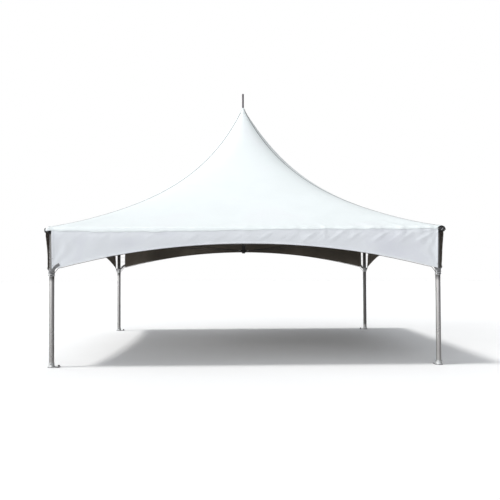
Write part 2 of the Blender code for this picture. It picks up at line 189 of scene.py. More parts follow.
# Foot details
WELD_AT = (0.0522, 0.0106)
WELD_RADIUS = 0.0022

# Camera
CAMERA_AT = (-0.1614, -13.550, 1.5393)
CAMERA_YAW = math.radians(1.227)
CAMERA_PITCH = math.radians(1.437)
CAMERA_ROLL = 0.0046
CAMERA_LENS = 48.51

# Brightness of the sky from the left side to the right one
SKY_STOPS = ((0.0, 0.15), (0.5, 0.76), (0.78, 0.11), (1.0, 0.08))
SKY_TINT = (0.93, 0.96, 1.0)

# The lights: name, where it shines from, strength, softness in degrees and colour
LIGHTS = (
    ("key", (-0.40, -0.06, 0.914), 1.68, 10, (1.0, 0.992, 0.975)),
    ("side", (-0.85, -0.48, 0.20), 1.66, 50, (0.97, 0.985, 1.0)),
    ("front", (-0.10, -0.97, 0.20), 0.84, 60, (0.96, 0.98, 1.0)),
    ("rim", (-0.78, 0.60, 0.15), 0.55, 20, (1.0, 0.99, 0.98)),
)
FLOOR_REACH = 60
FLOOR_SIDES = 64

# Finishes: threads of the scrim, and the grey that the floor throws back
SCRIM_SCALE = 140.0
FLOOR_BOUNCE = (0.38, 0.38, 0.38)


class MarqueeSizes(bpy.types.PropertyGroup):
    """Sizes of the fabric and rigging that a maker may change."""

    top_thickness: FloatProperty(
        name="Top",
        description="Thickness of the top's vinyl",
        default=0.0014,
        unit="LENGTH",
    )
    valance_thickness: FloatProperty(
        name="Valance",
        description="Thickness of the valances' vinyl",
        default=0.0014,
        unit="LENGTH",
    )
    crease_depth: FloatProperty(
        name="Puckers",
        description="Height of the puckers along the eaves",
        default=0.0150,
        unit="LENGTH",
    )
    wrinkle_depth: FloatProperty(
        name="Wrinkles",
        description="Height of the valances' drag lines",
        default=0.0110,
        unit="LENGTH",
    )
    seam_width: FloatProperty(
        name="Seam",
        description="Width of a welded seam",
        default=0.026,
        unit="LENGTH",
    )
    webbing_thickness: FloatProperty(
        name="Webbing",
        description="Thickness of the corner webbing",
        default=0.0026,
        unit="LENGTH",
    )
    hem_cable_radius: FloatProperty(
        name="Hem cable",
        description="Radius of the hem cables",
        default=0.0038,
        unit="LENGTH",
    )


class MarqueeColours(bpy.types.PropertyGroup):
    """Base colours of the finishes."""

    vinyl: FloatVectorProperty(
        name="Vinyl",
        description="Outer face of the top",
        subtype="COLOR",
        default=(0.781, 0.824, 0.827),
    )
    # The valances' colour is the top's vinyl made lighter and bluer: painted light, and the blue of shade, for
    # the upright faces.
    valance: FloatVectorProperty(
        name="Valance",
        description="Outer face of the valances",
        subtype="COLOR",
        default=(0.845, 0.866, 0.897),
    )
    # The inner face's dark colour is painted shade on the fabric's inside.
    inner_shade: FloatVectorProperty(
        name="Lining",
        description="Inner face of the fabric",
        subtype="COLOR",
        default=(0.225, 0.195, 0.160),
    )
    aluminium: FloatVectorProperty(
        name="Aluminium",
        description="Legs, eave tubes and mast",
        subtype="COLOR",
        default=(0.54, 0.524, 0.512),
    )
    steel: FloatVectorProperty(
        name="Steel",
        description="Turnbuckles and weld beads",
        subtype="COLOR",
        default=(0.54, 0.545, 0.54),
    )
    casting: FloatVectorProperty(
        name="Casting",
        description="Corner joints and the hub of the cables",
        subtype="COLOR",
        default=(0.085, 0.083, 0.083),
    )
    wire: FloatVectorProperty(
        name="Wire",
        description="Wire rope",
        subtype="COLOR",
        default=(0.13, 0.13, 0.135),
    )
    zinc: FloatVectorProperty(
        name="Zinc",
        description="Clamps and foot plates",
        subtype="COLOR",
        default=(0.66, 0.665, 0.66),
    )
    webbing: FloatVectorProperty(
        name="Webbing",
        description="Corner webbing",
        subtype="COLOR",
        default=(0.23, 0.23, 0.235),
    )
    spike: FloatVectorProperty(
        name="Spike",
        description="Spike above the peak",
        subtype="COLOR",
        default=(0.115, 0.10, 0.115),
    )


def sizes():
    """The sizes that the scene holds."""
    return bpy.context.scene.marquee_sizes


def colours():
    """The colours that the scene holds."""
    return bpy.context.scene.marquee_colours


# Node helpers


class Finish:
    """A material whose nodes are added one after another."""

    def __init__(self, name, roughness, metallic=0.0, specular=0.5):
        self.material = bpy.data.materials.new(name)
        self.material.use_nodes = True
        self.tree = self.material.node_tree
        self.shader = self.tree.nodes["Principled BSDF"]
        self.shader.inputs["Roughness"].default_value = roughness
        self.shader.inputs["Metallic"].default_value = metallic
        self.shader.inputs["Specular IOR Level"].default_value = specular

    def node(self, kind, **settings):
        """A new node of that kind, with its settings."""
        made = self.tree.nodes.new(kind)
        for name, value in settings.items():
            setattr(made, name, value)
        return made

    def link(self, source, target):
        """Joins an output to an input."""
        self.tree.links.new(source, target)

    def place(self, stretch=(1, 1, 1), source="Object"):
        """Object coordinates or the piece's own UV map, stretched."""
        coordinates = self.node("ShaderNodeTexCoord")
        mapping = self.node("ShaderNodeMapping")
        mapping.inputs["Scale"].default_value = stretch
        self.link(coordinates.outputs[source], mapping.inputs["Vector"])
        return mapping.outputs["Vector"]

    def noise(self, where, scale, detail=3.0, distortion=0.0):
        """A cloudy factor, finer at a larger scale."""
        made = self.node("ShaderNodeTexNoise")
        made.inputs["Scale"].default_value = scale
        made.inputs["Detail"].default_value = detail
        made.inputs["Distortion"].default_value = distortion
        self.link(where, made.inputs["Vector"])
        return made.outputs["Fac"]

    def stripes(self, where, scale, direction, distortion=0.0):
        """A factor that rises and falls in bands along the direction."""
        made = self.node("ShaderNodeTexWave", bands_direction=direction)
        made.inputs["Scale"].default_value = scale
        made.inputs["Distortion"].default_value = distortion
        self.link(where, made.inputs["Vector"])
        return made.outputs["Fac"]

    def weave(self, cloth):
        """Warp and weft: the higher of two sets of bands that cross."""
        warp = self.stripes(cloth, SCRIM_SCALE, "X")
        weft = self.stripes(cloth, SCRIM_SCALE, "Y")
        return self.maths("MAXIMUM", warp, weft)

    def cells(self, where, scale):
        """Irregular cells, as the outputs for their colours and for the distance from their middles."""
        made = self.node("ShaderNodeTexVoronoi")
        made.inputs["Scale"].default_value = scale
        self.link(where, made.inputs["Vector"])
        return made.outputs

    def attribute(self, name):
        """The factor that the piece's own points hold under that name."""
        made = self.node("ShaderNodeAttribute", attribute_name=name)
        return made.outputs["Fac"]

    def ramp(self, factor, *stops):
        """The factor as a colour that changes evenly from one (position, colour) stop to the next."""
        made = self.node("ShaderNodeValToRGB")
        band = made.color_ramp
        while len(band.elements) < len(stops):
            band.elements.new(0.5)
        for element, (position, colour) in zip(band.elements, stops):
            element.position = position
            element.color = (*colour, 1.0)
        self.link(factor, made.inputs["Fac"])
        return made.outputs["Color"]

    def value(self, factor, low, high, start=0.0, end=1.0):
        """The factor stretched from start..end to low..high, clamped."""
        made = self.node("ShaderNodeMapRange")
        for name, number in (("From Min", start), ("From Max", end), ("To Min", low), ("To Max", high)):
            made.inputs[name].default_value = number
        self.link(factor, made.inputs["Value"])
        return made.outputs["Result"]

    def maths(self, operation, first, second):
        """Two numbers or outputs put together by one operation."""
        made = self.node("ShaderNodeMath", operation=operation)
        for socket, item in zip(made.inputs, (first, second)):
            if isinstance(item, (int, float)):
                socket.default_value = item
            else:
                self.link(item, socket)
        return made.outputs[0]

    def blend(self, factor, first, second):
        """The first colour where the factor is 0 and the second where it is 1."""
        made = self.node("ShaderNodeMix", data_type="RGBA", blend_type="MIX")
        self.link(factor, made.inputs[0])
        for socket, item in ((made.inputs[6], first), (made.inputs[7], second)):
            if isinstance(item, tuple):
                socket.default_value = (*item, 1.0)
            else:
                self.link(item, socket)
        return made.outputs[2]

    def over(self, tone, colour, cloud, most, start=0.0, end=1.0):
        """The tone with a colour over it, whose share grows to most as the cloud goes from start to end."""
        return self.blend(self.value(cloud, 0.0, most, start, end), tone, colour)

    def bump(self, height, distance, strength, under=None):
        """A relief that is the distance high where the height is 1, over another relief if there is one."""
        made = self.node("ShaderNodeBump")
        made.inputs["Distance"].default_value = distance
        made.inputs["Strength"].default_value = strength
        self.link(height, made.inputs["Height"])
        if under is not None:
            self.link(under, made.inputs["Normal"])
        return made.outputs["Normal"]

    def done(self, colour, roughness=None, normal=None):
        """Joins colour, roughness and relief to the shader, and gives the material."""
        self.link(colour, self.shader.inputs["Base Color"])
        if roughness is not None:
            self.link(roughness, self.shader.inputs["Roughness"])
        if normal is not None:
            self.link(normal, self.shader.inputs["Normal"])
        return self.material


def shade(colour, factor):
    """The colour with each channel times the factor, up to 1."""
    return tuple(min(1.0, channel * factor) for channel in colour)


def vinyl_finish(name, colour, patches):
    """Coated cloth: a woven scrim under a satin skin, welded seams, soft clouding, water marks, and painted
    shade along marked edges.
    """
    finish = Finish(name, 0.50, specular=0.38)
    finish.shader.inputs["Sheen Weight"].default_value = 0.08
    cloth = finish.place(source="UV")
    place = finish.place()
    clouds = finish.noise(place, 1.3, 4.0, 0.4)
    tone = finish.ramp(clouds, (0.30, shade(colour, 1.0)), (0.55, shade(colour, 1.03)), (0.75, patches))
    marks = finish.noise(finish.place((0.7, 0.7, 5.0)), 3.0, 5.0, 1.2)
    tone = finish.over(tone, shade(colour, 0.80), marks, 0.10, 0.60, 0.80)
    tone = finish.over(tone, shade(colour, 1.07), finish.attribute("weld"), 0.35)
    # Painted shade: the points marked edge, along the top's hanging edge, the seam tapes' edges and the hem's
    # fold, are darkened.
    tone = finish.over(tone, shade(colour, 0.62), finish.attribute("edge"), 0.16)
    normal = finish.bump(finish.weave(cloth), 0.00018, 0.5)
    normal = finish.bump(finish.noise(cloth, 9.0, 3.0, 0.6), 0.0005, 0.25, normal)
    rough = finish.value(finish.noise(place, 6.0, 4.0), 0.51, 0.56, 0.3, 0.7)
    return finish.done(tone, rough, normal)


def inner_shade_finish():
    """The fabric's inner face: cloth darkened by painted shade, with the scrim showing and paler dust along it.
    """
    finish = Finish("vinyl_inner_shade", 0.7, specular=0.3)
    colour = tuple(colours().inner_shade)
    cloth = finish.place(source="UV")
    clouds = finish.noise(finish.place(), 1.1, 5.0, 0.5)
    tone = finish.ramp(clouds, (0.30, shade(colour, 0.72)), (0.55, colour), (0.75, shade(colour, 1.5)))
    return finish.done(tone, None, finish.bump(finish.weave(cloth), 0.0002, 0.6))


def aluminium_finish(name, along, shade_above=None):
    """Drawn tube: fine lines along its length, cloudy oxide and scuffs.

    Above a height, if one is given, it is rougher and its colour is darkened by painted shade, with an uneven
    border.
    """
    finish = Finish(name, 0.28, metallic=0.88)
    colour = tuple(colours().aluminium)
    stretch = {"Z": (1, 1, 0.02), "X": (0.02, 1, 1), "Y": (1, 0.02, 1)}[along]
    lines = finish.noise(finish.place(stretch), 260.0, 4.0)
    tone = finish.ramp(lines, (0.30, shade(colour, 0.88)), (0.55, colour), (0.75, shade(colour, 1.10)))
    oxide = finish.noise(finish.place(), 7.0, 6.0, 0.8)
    tone = finish.over(tone, shade(colour, 0.80), oxide, 0.25, 0.48, 0.75)
    scuffs = finish.noise(finish.place((1.0, 1.0, 3.0)), 24.0, 4.0, 1.2)
    tone = finish.over(tone, shade(colour, 1.15), scuffs, 0.2, 0.60, 0.76)
    rough = finish.value(oxide, 0.27, 0.31, 0.35, 0.7)
    # Painted shade: the mask dull darkens the colour above that height, and it also raises the roughness.
    if shade_above is not None:
        split = finish.node("ShaderNodeSeparateXYZ")
        finish.link(finish.place(), split.inputs["Vector"])
        edge = finish.maths("ADD", split.outputs["Z"], finish.value(oxide, -0.03, 0.03))
        dull = finish.value(edge, 0.0, 1.0, shade_above - 0.03, shade_above + 0.03)
        tone = finish.blend(finish.maths("MULTIPLY", dull, 0.9), tone, shade(colour, 0.30))
        rough = finish.maths("ADD", rough, finish.maths("MULTIPLY", dull, 0.22))
    return finish.done(tone, rough, finish.bump(lines, 0.00015, 0.30))


def galvanised_finish(name, colour, metallic):
    """Zinc coat: spangle crystals and darker, duller patches."""
    finish = Finish(name, 0.45, metallic=metallic)
    place = finish.place()
    crystals = finish.cells(place, 90.0)["Color"]
    tone = finish.ramp(crystals, (0.1, shade(colour, 0.78)), (0.5, colour), (0.9, shade(colour, 1.22)))
    dull = finish.noise(place, 12.0, 5.0, 0.6)
    tone = finish.over(tone, shade(colour, 0.62), dull, 0.6, 0.45, 0.75)
    rough = finish.value(dull, 0.34, 0.62, 0.35, 0.7)
    return finish.done(tone, rough, finish.bump(dull, 0.0006, 0.4))


def casting_finish():
    """Sand-cast aluminium: a fine grain with darker hollows."""
    finish = Finish("cast_grain", 0.55, metallic=0.6)
    colour = tuple(colours().casting)
    place = finish.place()
    grain = finish.noise(place, 420.0, 3.0)
    stains = finish.noise(place, 15.0, 5.0, 0.6)
    tone = finish.ramp(stains, (0.3, shade(colour, 0.55)), (0.55, colour), (0.75, shade(colour, 1.25)))
    tone = finish.over(tone, shade(colour, 0.7), grain, 0.35, 0.4, 0.7)
    return finish.done(tone, finish.value(grain, 0.45, 0.70, 0.3, 0.7), finish.bump(grain, 0.0006, 0.5))


def wire_finish():
    """Wire rope: bright strands that wind round it, dark between them."""
    finish = Finish("wire_strands", 0.42, metallic=0.8)
    colour = tuple(colours().wire)
    strands = finish.stripes(finish.place(), 150.0, "DIAGONAL", 0.4)
    tone = finish.ramp(strands, (0.15, shade(colour, 0.35)), (0.5, colour), (0.9, shade(colour, 1.4)))
    stains = finish.noise(finish.place(), 20.0, 4.0)
    tone = finish.over(tone, shade(colour, 0.5), stains, 0.4, 0.5, 0.7)
    return finish.done(tone, None, finish.bump(strands, 0.0010, 0.8))


def webbing_finish():
    """Woven webbing: chevron ribs across it, two pale edge threads, a little fading."""
    finish = Finish("webbing_weave", 0.85, specular=0.25)
    finish.shader.inputs["Sheen Weight"].default_value = 0.25
    colour = tuple(colours().webbing)
    band = finish.place(source="UV")
    ribs = finish.stripes(band, 240.0, "DIAGONAL")
    tone = finish.ramp(ribs, (0.2, shade(colour, 0.6)), (0.6, colour), (0.95, shade(colour, 1.5)))
    fading = finish.noise(finish.place(), 25.0, 4.0)
    tone = finish.over(tone, shade(colour, 1.5), fading, 0.4, 0.45, 0.75)
    tone = finish.over(tone, shade(colour, 2.2), finish.attribute("weld"), 0.7)
    return finish.done(tone, None, finish.bump(ribs, 0.0006, 0.8))


def spike_finish():
    """Dark painted rod with faint lengthwise wear and a little rust."""
    finish = Finish("dark_paint", 0.45, metallic=0.3)
    colour = tuple(colours().spike)
    wear = finish.noise(finish.place((1, 1, 0.1)), 90.0, 4.0)
    tone = finish.ramp(wear, (0.3, shade(colour, 0.75)), (0.55, colour), (0.75, shade(colour, 1.5)))
    rust = finish.noise(finish.place(), 30.0, 5.0, 0.7)
    tone = finish.over(tone, (0.16, 0.085, 0.05), rust, 0.35, 0.58, 0.70)
    return finish.done(tone, finish.value(rust, 0.35, 0.6, 0.3, 0.7), finish.bump(wear, 0.0004, 0.4))


def plastic_finish(name, colour, roughness=0.45):
    """Moulded plastic or black oxide: a slight orange peel and paler scuffs."""
    finish = Finish(name, roughness)
    scuffs = finish.noise(finish.place(), 45.0, 5.0, 1.0)
    tone = finish.ramp(scuffs, (0.35, shade(colour, 0.8)), (0.55, colour), (0.72, shade(colour, 1.6)))
    grain = finish.noise(finish.place(), 600.0, 2.0)
    rough = finish.value(scuffs, roughness, roughness + 0.2, 0.5, 0.7)
    return finish.done(tone, rough, finish.bump(grain, 0.0002, 0.4))


def cord_finish():
    """Braided shock cord: a pale sheath with a fleck of darker thread."""
    finish = Finish("cord_braid", 0.8, specular=0.25)
    braid = finish.cells(finish.place(), 520.0)["Distance"]
    tone = finish.ramp(braid, (0.2, (0.62, 0.60, 0.58)), (0.6, (0.74, 0.72, 0.70)), (0.9, (0.40, 0.38, 0.37)))
    return finish.done(tone, None, finish.bump(braid, 0.0006, 0.7))


def floor_finish():
    """Pale studio floor with a very faint mottle, which throws back the light of a grey one."""
    finish = Finish("studio_floor", 0.9, specular=0.1)
    mottle = finish.noise(finish.place(), 0.6, 3.0)
    pale = finish.ramp(mottle, (0.35, (0.975, 0.975, 0.975)), (0.65, (0.990, 0.990, 0.990)))
    seen = finish.node("ShaderNodeLightPath").outputs["Is Camera Ray"]
    return finish.done(finish.blend(seen, FLOOR_BOUNCE, pale))


FINISHES = {}


def finish_named(name):
    """The material of that name, made once."""
    if name not in FINISHES:
        vinyl = tuple(colours().vinyl)
        makers = {
            "top": lambda: vinyl_finish("vinyl_top", vinyl, (0.80, 0.825, 0.84)),
            # The valances' lighter, bluer colour is painted light and the blue of shade.
            "valance": lambda: vinyl_finish("vinyl_valance", tuple(colours().valance), (0.80, 0.81, 0.87)),
            "seam": lambda: vinyl_finish("vinyl_seam", shade(vinyl, 0.23), (0.18, 0.19, 0.20)),
            "inner_shade": inner_shade_finish,
            # The legs' finish is darkened by painted shade high up, the shaded tube's from near the ground.
            "leg": lambda: aluminium_finish("drawn_tube_upright", "Z", SHADED_FROM_Z),
            "shaded_tube": lambda: aluminium_finish("drawn_tube_shaded", "Z", SHADED_LEG_FROM_Z),
            "beam_x": lambda: aluminium_finish("drawn_tube_across", "X"),
            "beam_y": lambda: aluminium_finish("drawn_tube_deep", "Y"),
            "steel": lambda: galvanised_finish("galvanised_spangle", tuple(colours().steel), 0.8),
            "zinc": lambda: galvanised_finish("bright_zinc", tuple(colours().zinc), 0.45),
            "casting": casting_finish,
            "wire": wire_finish,
            "webbing": webbing_finish,
            "spike": spike_finish,
            "black": lambda: plastic_finish("black_plastic", (0.020, 0.020, 0.021)),
            "pale": lambda: plastic_finish("pale_plug", (0.50, 0.50, 0.51), 0.35),
            "bolt": lambda: plastic_finish("black_oxide", (0.045, 0.044, 0.046), 0.35),
            "cord": cord_finish,
            "floor": floor_finish,
        }
        FINISHES[name] = makers[name]()
    return FINISHES[name]


# Surface helpers


def grid_faces(rows, columns, start=0, round_u=False, round_v=False):
    """Quads of a grid of points as an array of index rows, wrapped on itself along either way if asked."""
    i = np.arange(rows if round_v else rows - 1)[:, None]
    j = np.arange(columns if round_u else columns - 1)[None, :]
    below = (i + 1) % rows
    beside = (j + 1) % columns
    corners = [i * columns + j, i * columns + beside, below * columns + beside, below * columns + j]
    return start + np.stack(np.broadcast_arrays(*corners), axis=-1).reshape(-1, 4)


def piece(name, points, faces, finishes, uv=None, marks=None):
    """A piece that rides on the tent, from points and quads. uv and marks hold one entry a point."""
    mesh = bpy.data.meshes.new(name)
    mesh.from_pydata(points, [], faces)
    corner_points = np.empty(len(mesh.loops), np.int32)
    mesh.loops.foreach_get("vertex_index", corner_points)
    if uv is not None:
        layer = mesh.uv_layers.new(name="cloth")
        layer.data.foreach_set("uv", np.ascontiguousarray(uv[corner_points], dtype=np.float32).reshape(-1))
    for mark, values in (marks or {}).items():
        attribute = mesh.attributes.new(mark, "FLOAT", "POINT")
        attribute.data.foreach_set("value", np.ascontiguousarray(values, dtype=np.float32).reshape(-1))
    for finish in finishes:
        mesh.materials.append(finish_named(finish))
    mesh.shade_smooth()
    made = bpy.data.objects.new(name, mesh)
    bpy.context.scene.collection.objects.link(made)
    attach(made, BODY)
    return made


def merged(points, faces, extras):
    """Points that coincide become one. extras are per-point arrays that are carried over."""
    _, first, index = np.unique(np.round(points, 5), axis=0, return_index=True, return_inverse=True)
    return points[first], index.reshape(-1)[faces], [extra[first] for extra in extras]


def turned(points, quarter):
    """The points after that many quarter turns about the mast."""
    turn = quarter * math.pi / 2
    x = points[..., 0] * math.cos(turn) - points[..., 1] * math.sin(turn)
    y = points[..., 0] * math.sin(turn) + points[..., 1] * math.cos(turn)
    return np.stack([x, y, points[..., 2]], axis=-1)


def smooth_step(values, low, high):
    """0 below low, 1 above high, and between them three times the share's square less twice its cube."""
    share = np.clip((values - low) / (high - low), 0, 1)
    return share * share * (3 - 2 * share)


def bell(values, middle, width):
    """A rise of height one about the middle: e to the power of minus the squared distance, in widths."""
    return np.exp(-(((values - middle) / width) ** 2))


def unit(vectors):
    """Each row scaled to a length of one."""
    return vectors / np.linalg.norm(vectors, axis=-1, keepdims=True)


def run_length(points):
    """The length from the first row to each row, summed over the straight steps between them."""
    steps = np.linalg.norm(np.diff(points, axis=0), axis=-1)
    return np.concatenate([np.zeros_like(steps[:1]), np.cumsum(steps, axis=0)])


def round_turns(count):
    """Angles evenly spread round a circle."""
    return np.arange(count) * 2 * math.pi / count


def thickened(sheet, thickness, rim=0):
    """Gives a sheet its thickness, half to each side, with its second finish on the inner face.

    The rim has the first finish, or the second if rim is 1.
    """
    wall = sheet.modifiers.new("thickness", "SOLIDIFY")
    wall.thickness = thickness
    wall.offset = 0
    wall.material_offset = 1
    wall.material_offset_rim = rim


def sweep(path, profile, reference):
    """A closed profile carried along a path: the path's point plus the profile's x across and y out.

    Across is the path's direction crossed with the reference. Out is square to both, away from the reference.
    """
    path = np.asarray(path, float)
    profile = np.asarray(profile, float)
    along = unit(np.gradient(path, axis=0))
    across = unit(np.cross(along, np.broadcast_to(reference, along.shape)))
    out = np.cross(along, across)
    if profile.ndim == 2:
        profile = np.broadcast_to(profile, (len(path), *profile.shape))
    points = path[:, None] + profile[..., :1] * across[:, None] + profile[..., 1:] * out[:, None]
    rows, columns = points.shape[:2]
    faces = grid_faces(rows, columns, round_u=True)
    return points.reshape(-1, 3), faces


def with_ends(points, faces, columns):
    """Adds a fan of triangles over both ends of a swept shape."""
    first = points[:columns].mean(axis=0)
    last = points[-columns:].mean(axis=0)
    count = len(points)
    ring = np.arange(columns)
    following = (ring + 1) % columns
    head = np.stack([following, ring, np.full(columns, count)], axis=-1)
    tail = count - columns + np.stack([ring, following, np.full(columns, columns + 1)], axis=-1)
    points = np.concatenate([points, [first], [last]])
    return points, faces.tolist() + head.tolist() + tail.tolist()


def circle_profile(radius, sides):
    """Points evenly round a circle, anticlockwise."""
    turns = round_turns(sides)
    return np.stack([radius * np.cos(turns), radius * np.sin(turns)], axis=-1)


def strand_profile(distance, radius, groove, lay, sides):
    """A six-strand rope's outline at each distance along it.

    It is a circle whose radius dips by the groove's share between strands, turned once round in each lay.
    """
    turns = round_turns(sides)
    twist = 2 * math.pi * distance / lay
    strand = radius * (1 - groove + groove * np.abs(np.cos(3 * turns[None, :] + 3 * twist[:, None])))
    return np.stack([strand * np.cos(turns), strand * np.sin(turns)], axis=-1)


def turned_about(profile, start, direction, sides, closed=False):
    """A profile of (radius, distance) points turned about an axis through start.

    A closed profile is a loop round a wall, and an open one gets a flat face over each end.
    """
    axis = Vector(direction).normalized()
    side = axis.orthogonal().normalized()
    other = np.array(axis.cross(side))
    turns = round_turns(sides)
    radius, distance = np.asarray(profile, float).T[..., None, None]
    ring = np.cos(turns)[:, None] * np.array(side) + np.sin(turns)[:, None] * other
    points = np.asarray(start, float) + distance * np.array(axis) + radius * ring
    faces = grid_faces(len(radius), sides, round_u=True, round_v=closed).tolist()
    if not closed:
        last = (len(radius) - 1) * sides
        faces += [list(range(sides))[::-1], list(range(last, last + sides))]
    return points.reshape(-1, 3), faces


def tube_wall(radius, low, high, soft=0.0007):
    """A tube's wall as a closed loop of (radius, distance), with every edge chamfered by soft."""
    inner = radius - TUBE_WALL
    outside = [(radius - soft, low), (radius, low + soft), (radius, high - soft), (radius - soft, high)]
    inside = [(inner + soft, high), (inner, high - soft), (inner, low + soft), (inner + soft, low)]
    return outside + inside


def gathered(shapes):
    """Several shapes' points and faces as one set."""
    points, faces, start = [], [], 0
    for shape_points, shape_faces in shapes:
        points.append(shape_points)
        for face in np.asarray(shape_faces, dtype=object).tolist():
            faces.append([start + corner for corner in face])
        start += len(shape_points)
    return np.concatenate(points), faces


def flat_piece(name, shapes, finish, quarter=0, angle=35):
    """One piece from several shapes made for the front right corner, creased where faces meet sharply."""
    points, faces = gathered(shapes)
    made = piece(name, turned(points, quarter), faces, (finish,))
    made.data.set_sharp_from_angle(angle=math.radians(angle))
    return made


def lathe(name, profile, sides, finishes):
    """A piece from a profile of (radius, height) points turned about the mast's axis."""
    turns = round_turns(sides)
    radius, height = np.asarray(profile, float).T[..., None]
    height = np.broadcast_to(height, (len(profile), sides))
    points = np.stack([radius * np.cos(turns), radius * np.sin(turns), height], axis=-1)
    faces = grid_faces(len(profile), sides, round_u=True)[:, ::-1]
    cloth = np.stack([np.broadcast_to(turns * 0.05, height.shape), height], axis=-1)
    return piece(name, points.reshape(-1, 3), faces, finishes, cloth.reshape(-1, 2))


def curve_through(knots, count):
    """A smooth path through the knots: a cubic between each two, with slopes from their neighbours."""
    knots = np.asarray(knots, float)
    slopes = np.gradient(knots, axis=0)
    where = np.linspace(0, len(knots) - 1, count)
    base = np.minimum(where.astype(int), len(knots) - 2)
    t = (where - base)[:, None]
    a, b, sa, sb = knots[base], knots[base + 1], slopes[base], slopes[base + 1]
    start = (2 * t**3 - 3 * t**2 + 1) * a + (t**3 - 2 * t**2 + t) * sa
    return start + (3 * t**2 - 2 * t**3) * b + (t**3 - t**2) * sb


# The tent's surfaces


def roof_z(reach):
    """The membrane's height at this distance from the mast, towards a side's middle: an exponential sweep."""
    fall = math.exp(-ROOF_CURVE)
    share = (np.exp(-ROOF_CURVE * reach / EAVE_AT) - fall) / (1 - fall)
    return ROOF_EDGE_Z + (ROOF_PEAK_Z - ROOF_EDGE_Z) * share + ROOF_LIFT * np.clip(reach / EAVE_AT, 0, 1)


def level_line(reach, angle):
    """Distance from the mast along the angle, for a level line of the roof.

    It is a circle where the squareness is 0, near the peak, and the eaves' square where it is 1.
    """
    flat = math.sqrt(0.5)
    hip = flat + (1 - flat) * np.clip(reach / EAVE_AT, 0, 1) ** HIP_SHARPENING
    squareness = np.maximum(2 * hip**2 - 1, 0) / hip**4
    return reach * np.sqrt(2 / (1 + np.sqrt(np.maximum(1 - squareness * np.sin(2 * angle) ** 2, 0))))


def ripple(x, phase):
    """An uneven row of waves between -1 and 1: four sines whose lengths share no common step."""
    waves = np.sin(x * 9.1 + phase) + 0.8 * np.sin(x * 14.7 + 2.3 * phase)
    waves = waves + 0.6 * np.sin(x * 23.9 + 0.7 * phase) + 0.45 * np.sin(x * 41.3 + 1.9 * phase)
    return waves / 2.85


def puckers(x, quarter):
    """Ridges that the tension raises along the eaves: the ripple's crests, finer and sharper to the right."""
    crest = np.clip(ripple(x, 1.7 + 2.1 * quarter) + 0.15, 0, None)
    fine = np.clip(ripple(1.75 * x, 0.6 + 1.1 * quarter) + 0.10, 0, None) * smooth_step(x, -0.9, 1.4)
    pull = 0.50 + 0.50 * smooth_step(x, -0.8, 2.2)
    return sizes().crease_depth * (0.8 * pull * crest**1.3 + 0.75 * fine**1.2)


def flap_length(x, quarter):
    """How far the top's welded edge hangs on past the eave tube.

    It is longest left of the middle, uneven along the side, and longer at the left end's tab.
    """
    longest = 0.024 + 0.032 * (1 - smooth_step(x, -1.6, 0.9)) * smooth_step(x, -3.2, -2.2)
    tab = 0.6 * longest * smooth_step(-x, 2.99, 3.06)
    uneven = 0.011 * ripple(x * 0.9, 0.4 + 1.3 * quarter) * smooth_step(3.08 - np.abs(x), 0.0, 0.2)
    return longest + uneven + tab


def valance_plane(z):
    """The hanging cloth's distance from the tent's centre: a plane tangent to its wrap on the eave tube."""
    lean = math.atan(VALANCE_LEAN)
    tangent_z = EAVE_AXIS - WRAP_RADIUS * math.sin(lean)
    return EAVE_AT + WRAP_RADIUS * math.cos(lean) - VALANCE_LEAN * (tangent_z - z)


def valance_bottom(x):
    """The arched hem: a circle's arc through both ends and the middle."""
    rise = VALANCE_MID_Z - VALANCE_END_Z
    radius = (VALANCE_HALF**2 + rise**2) / (2 * rise)
    return VALANCE_MID_Z - radius + np.sqrt(radius**2 - np.clip(x, -VALANCE_HALF, VALANCE_HALF) ** 2)


def valance_waves(x, z, quarter):
    """Drag lines and shallow billows of a hanging valance, outwards.

    Long slanting waves grow to the right, short ones hang under the puckers, and upright ones stand at the
    left end. Ridges fan out from both lower corners and the right upper one.
    """
    down = EAVE_AXIS - z
    above = z - VALANCE_END_Z + 0.06
    depth = np.clip(down / (EAVE_AXIS - VALANCE_END_Z), 0, 1)
    phase = 1.3 * quarter
    growth = 0.35 + 0.65 * smooth_step(x, -1.0, 2.4)
    slant = np.sin(5.6 * x + 9.0 * down + phase) + 0.6 * np.sin(10.3 * x - 6.0 * down + 2.1 * phase)
    folds = ripple(1.9 * x + 2.4 * down, 0.9 + phase) * bell(down, 0.11, 0.085)
    waves = 0.26 * growth * slant * np.sin(math.pi * np.clip(depth * 1.3, 0, 1)) + 0.62 * growth * folds
    from_left = x + VALANCE_HALF
    upright = np.cos(27.0 * from_left + 0.8 * phase) * bell(from_left, 0.17, 0.13)
    waves = waves + 0.22 * upright * np.sin(math.pi * np.clip(depth * 1.15, 0, 1))
    for side, strength in ((-1, 0.20), (1, 0.32)):
        aside = VALANCE_HALF + 0.06 - side * x
        fan = np.sin(np.arctan2(above, aside) * 15.0 + phase) * bell(np.hypot(aside, above), 0.34, 0.26)
        waves = waves + strength * fan
    aside = VALANCE_HALF - x
    fan = np.sin(np.arctan2(down, aside) * 13.0 + phase) * bell(np.hypot(aside, down), 0.20, 0.16)
    return sizes().wrinkle_depth * (waves + 0.34 * fan)


def flap_curl(share):
    """How far outwards the hanging edge has run, for a length of one, as its lean falls evenly along it."""
    return FLAP_TURN * share - (FLAP_TURN - FLAP_END) * share**2 / 2


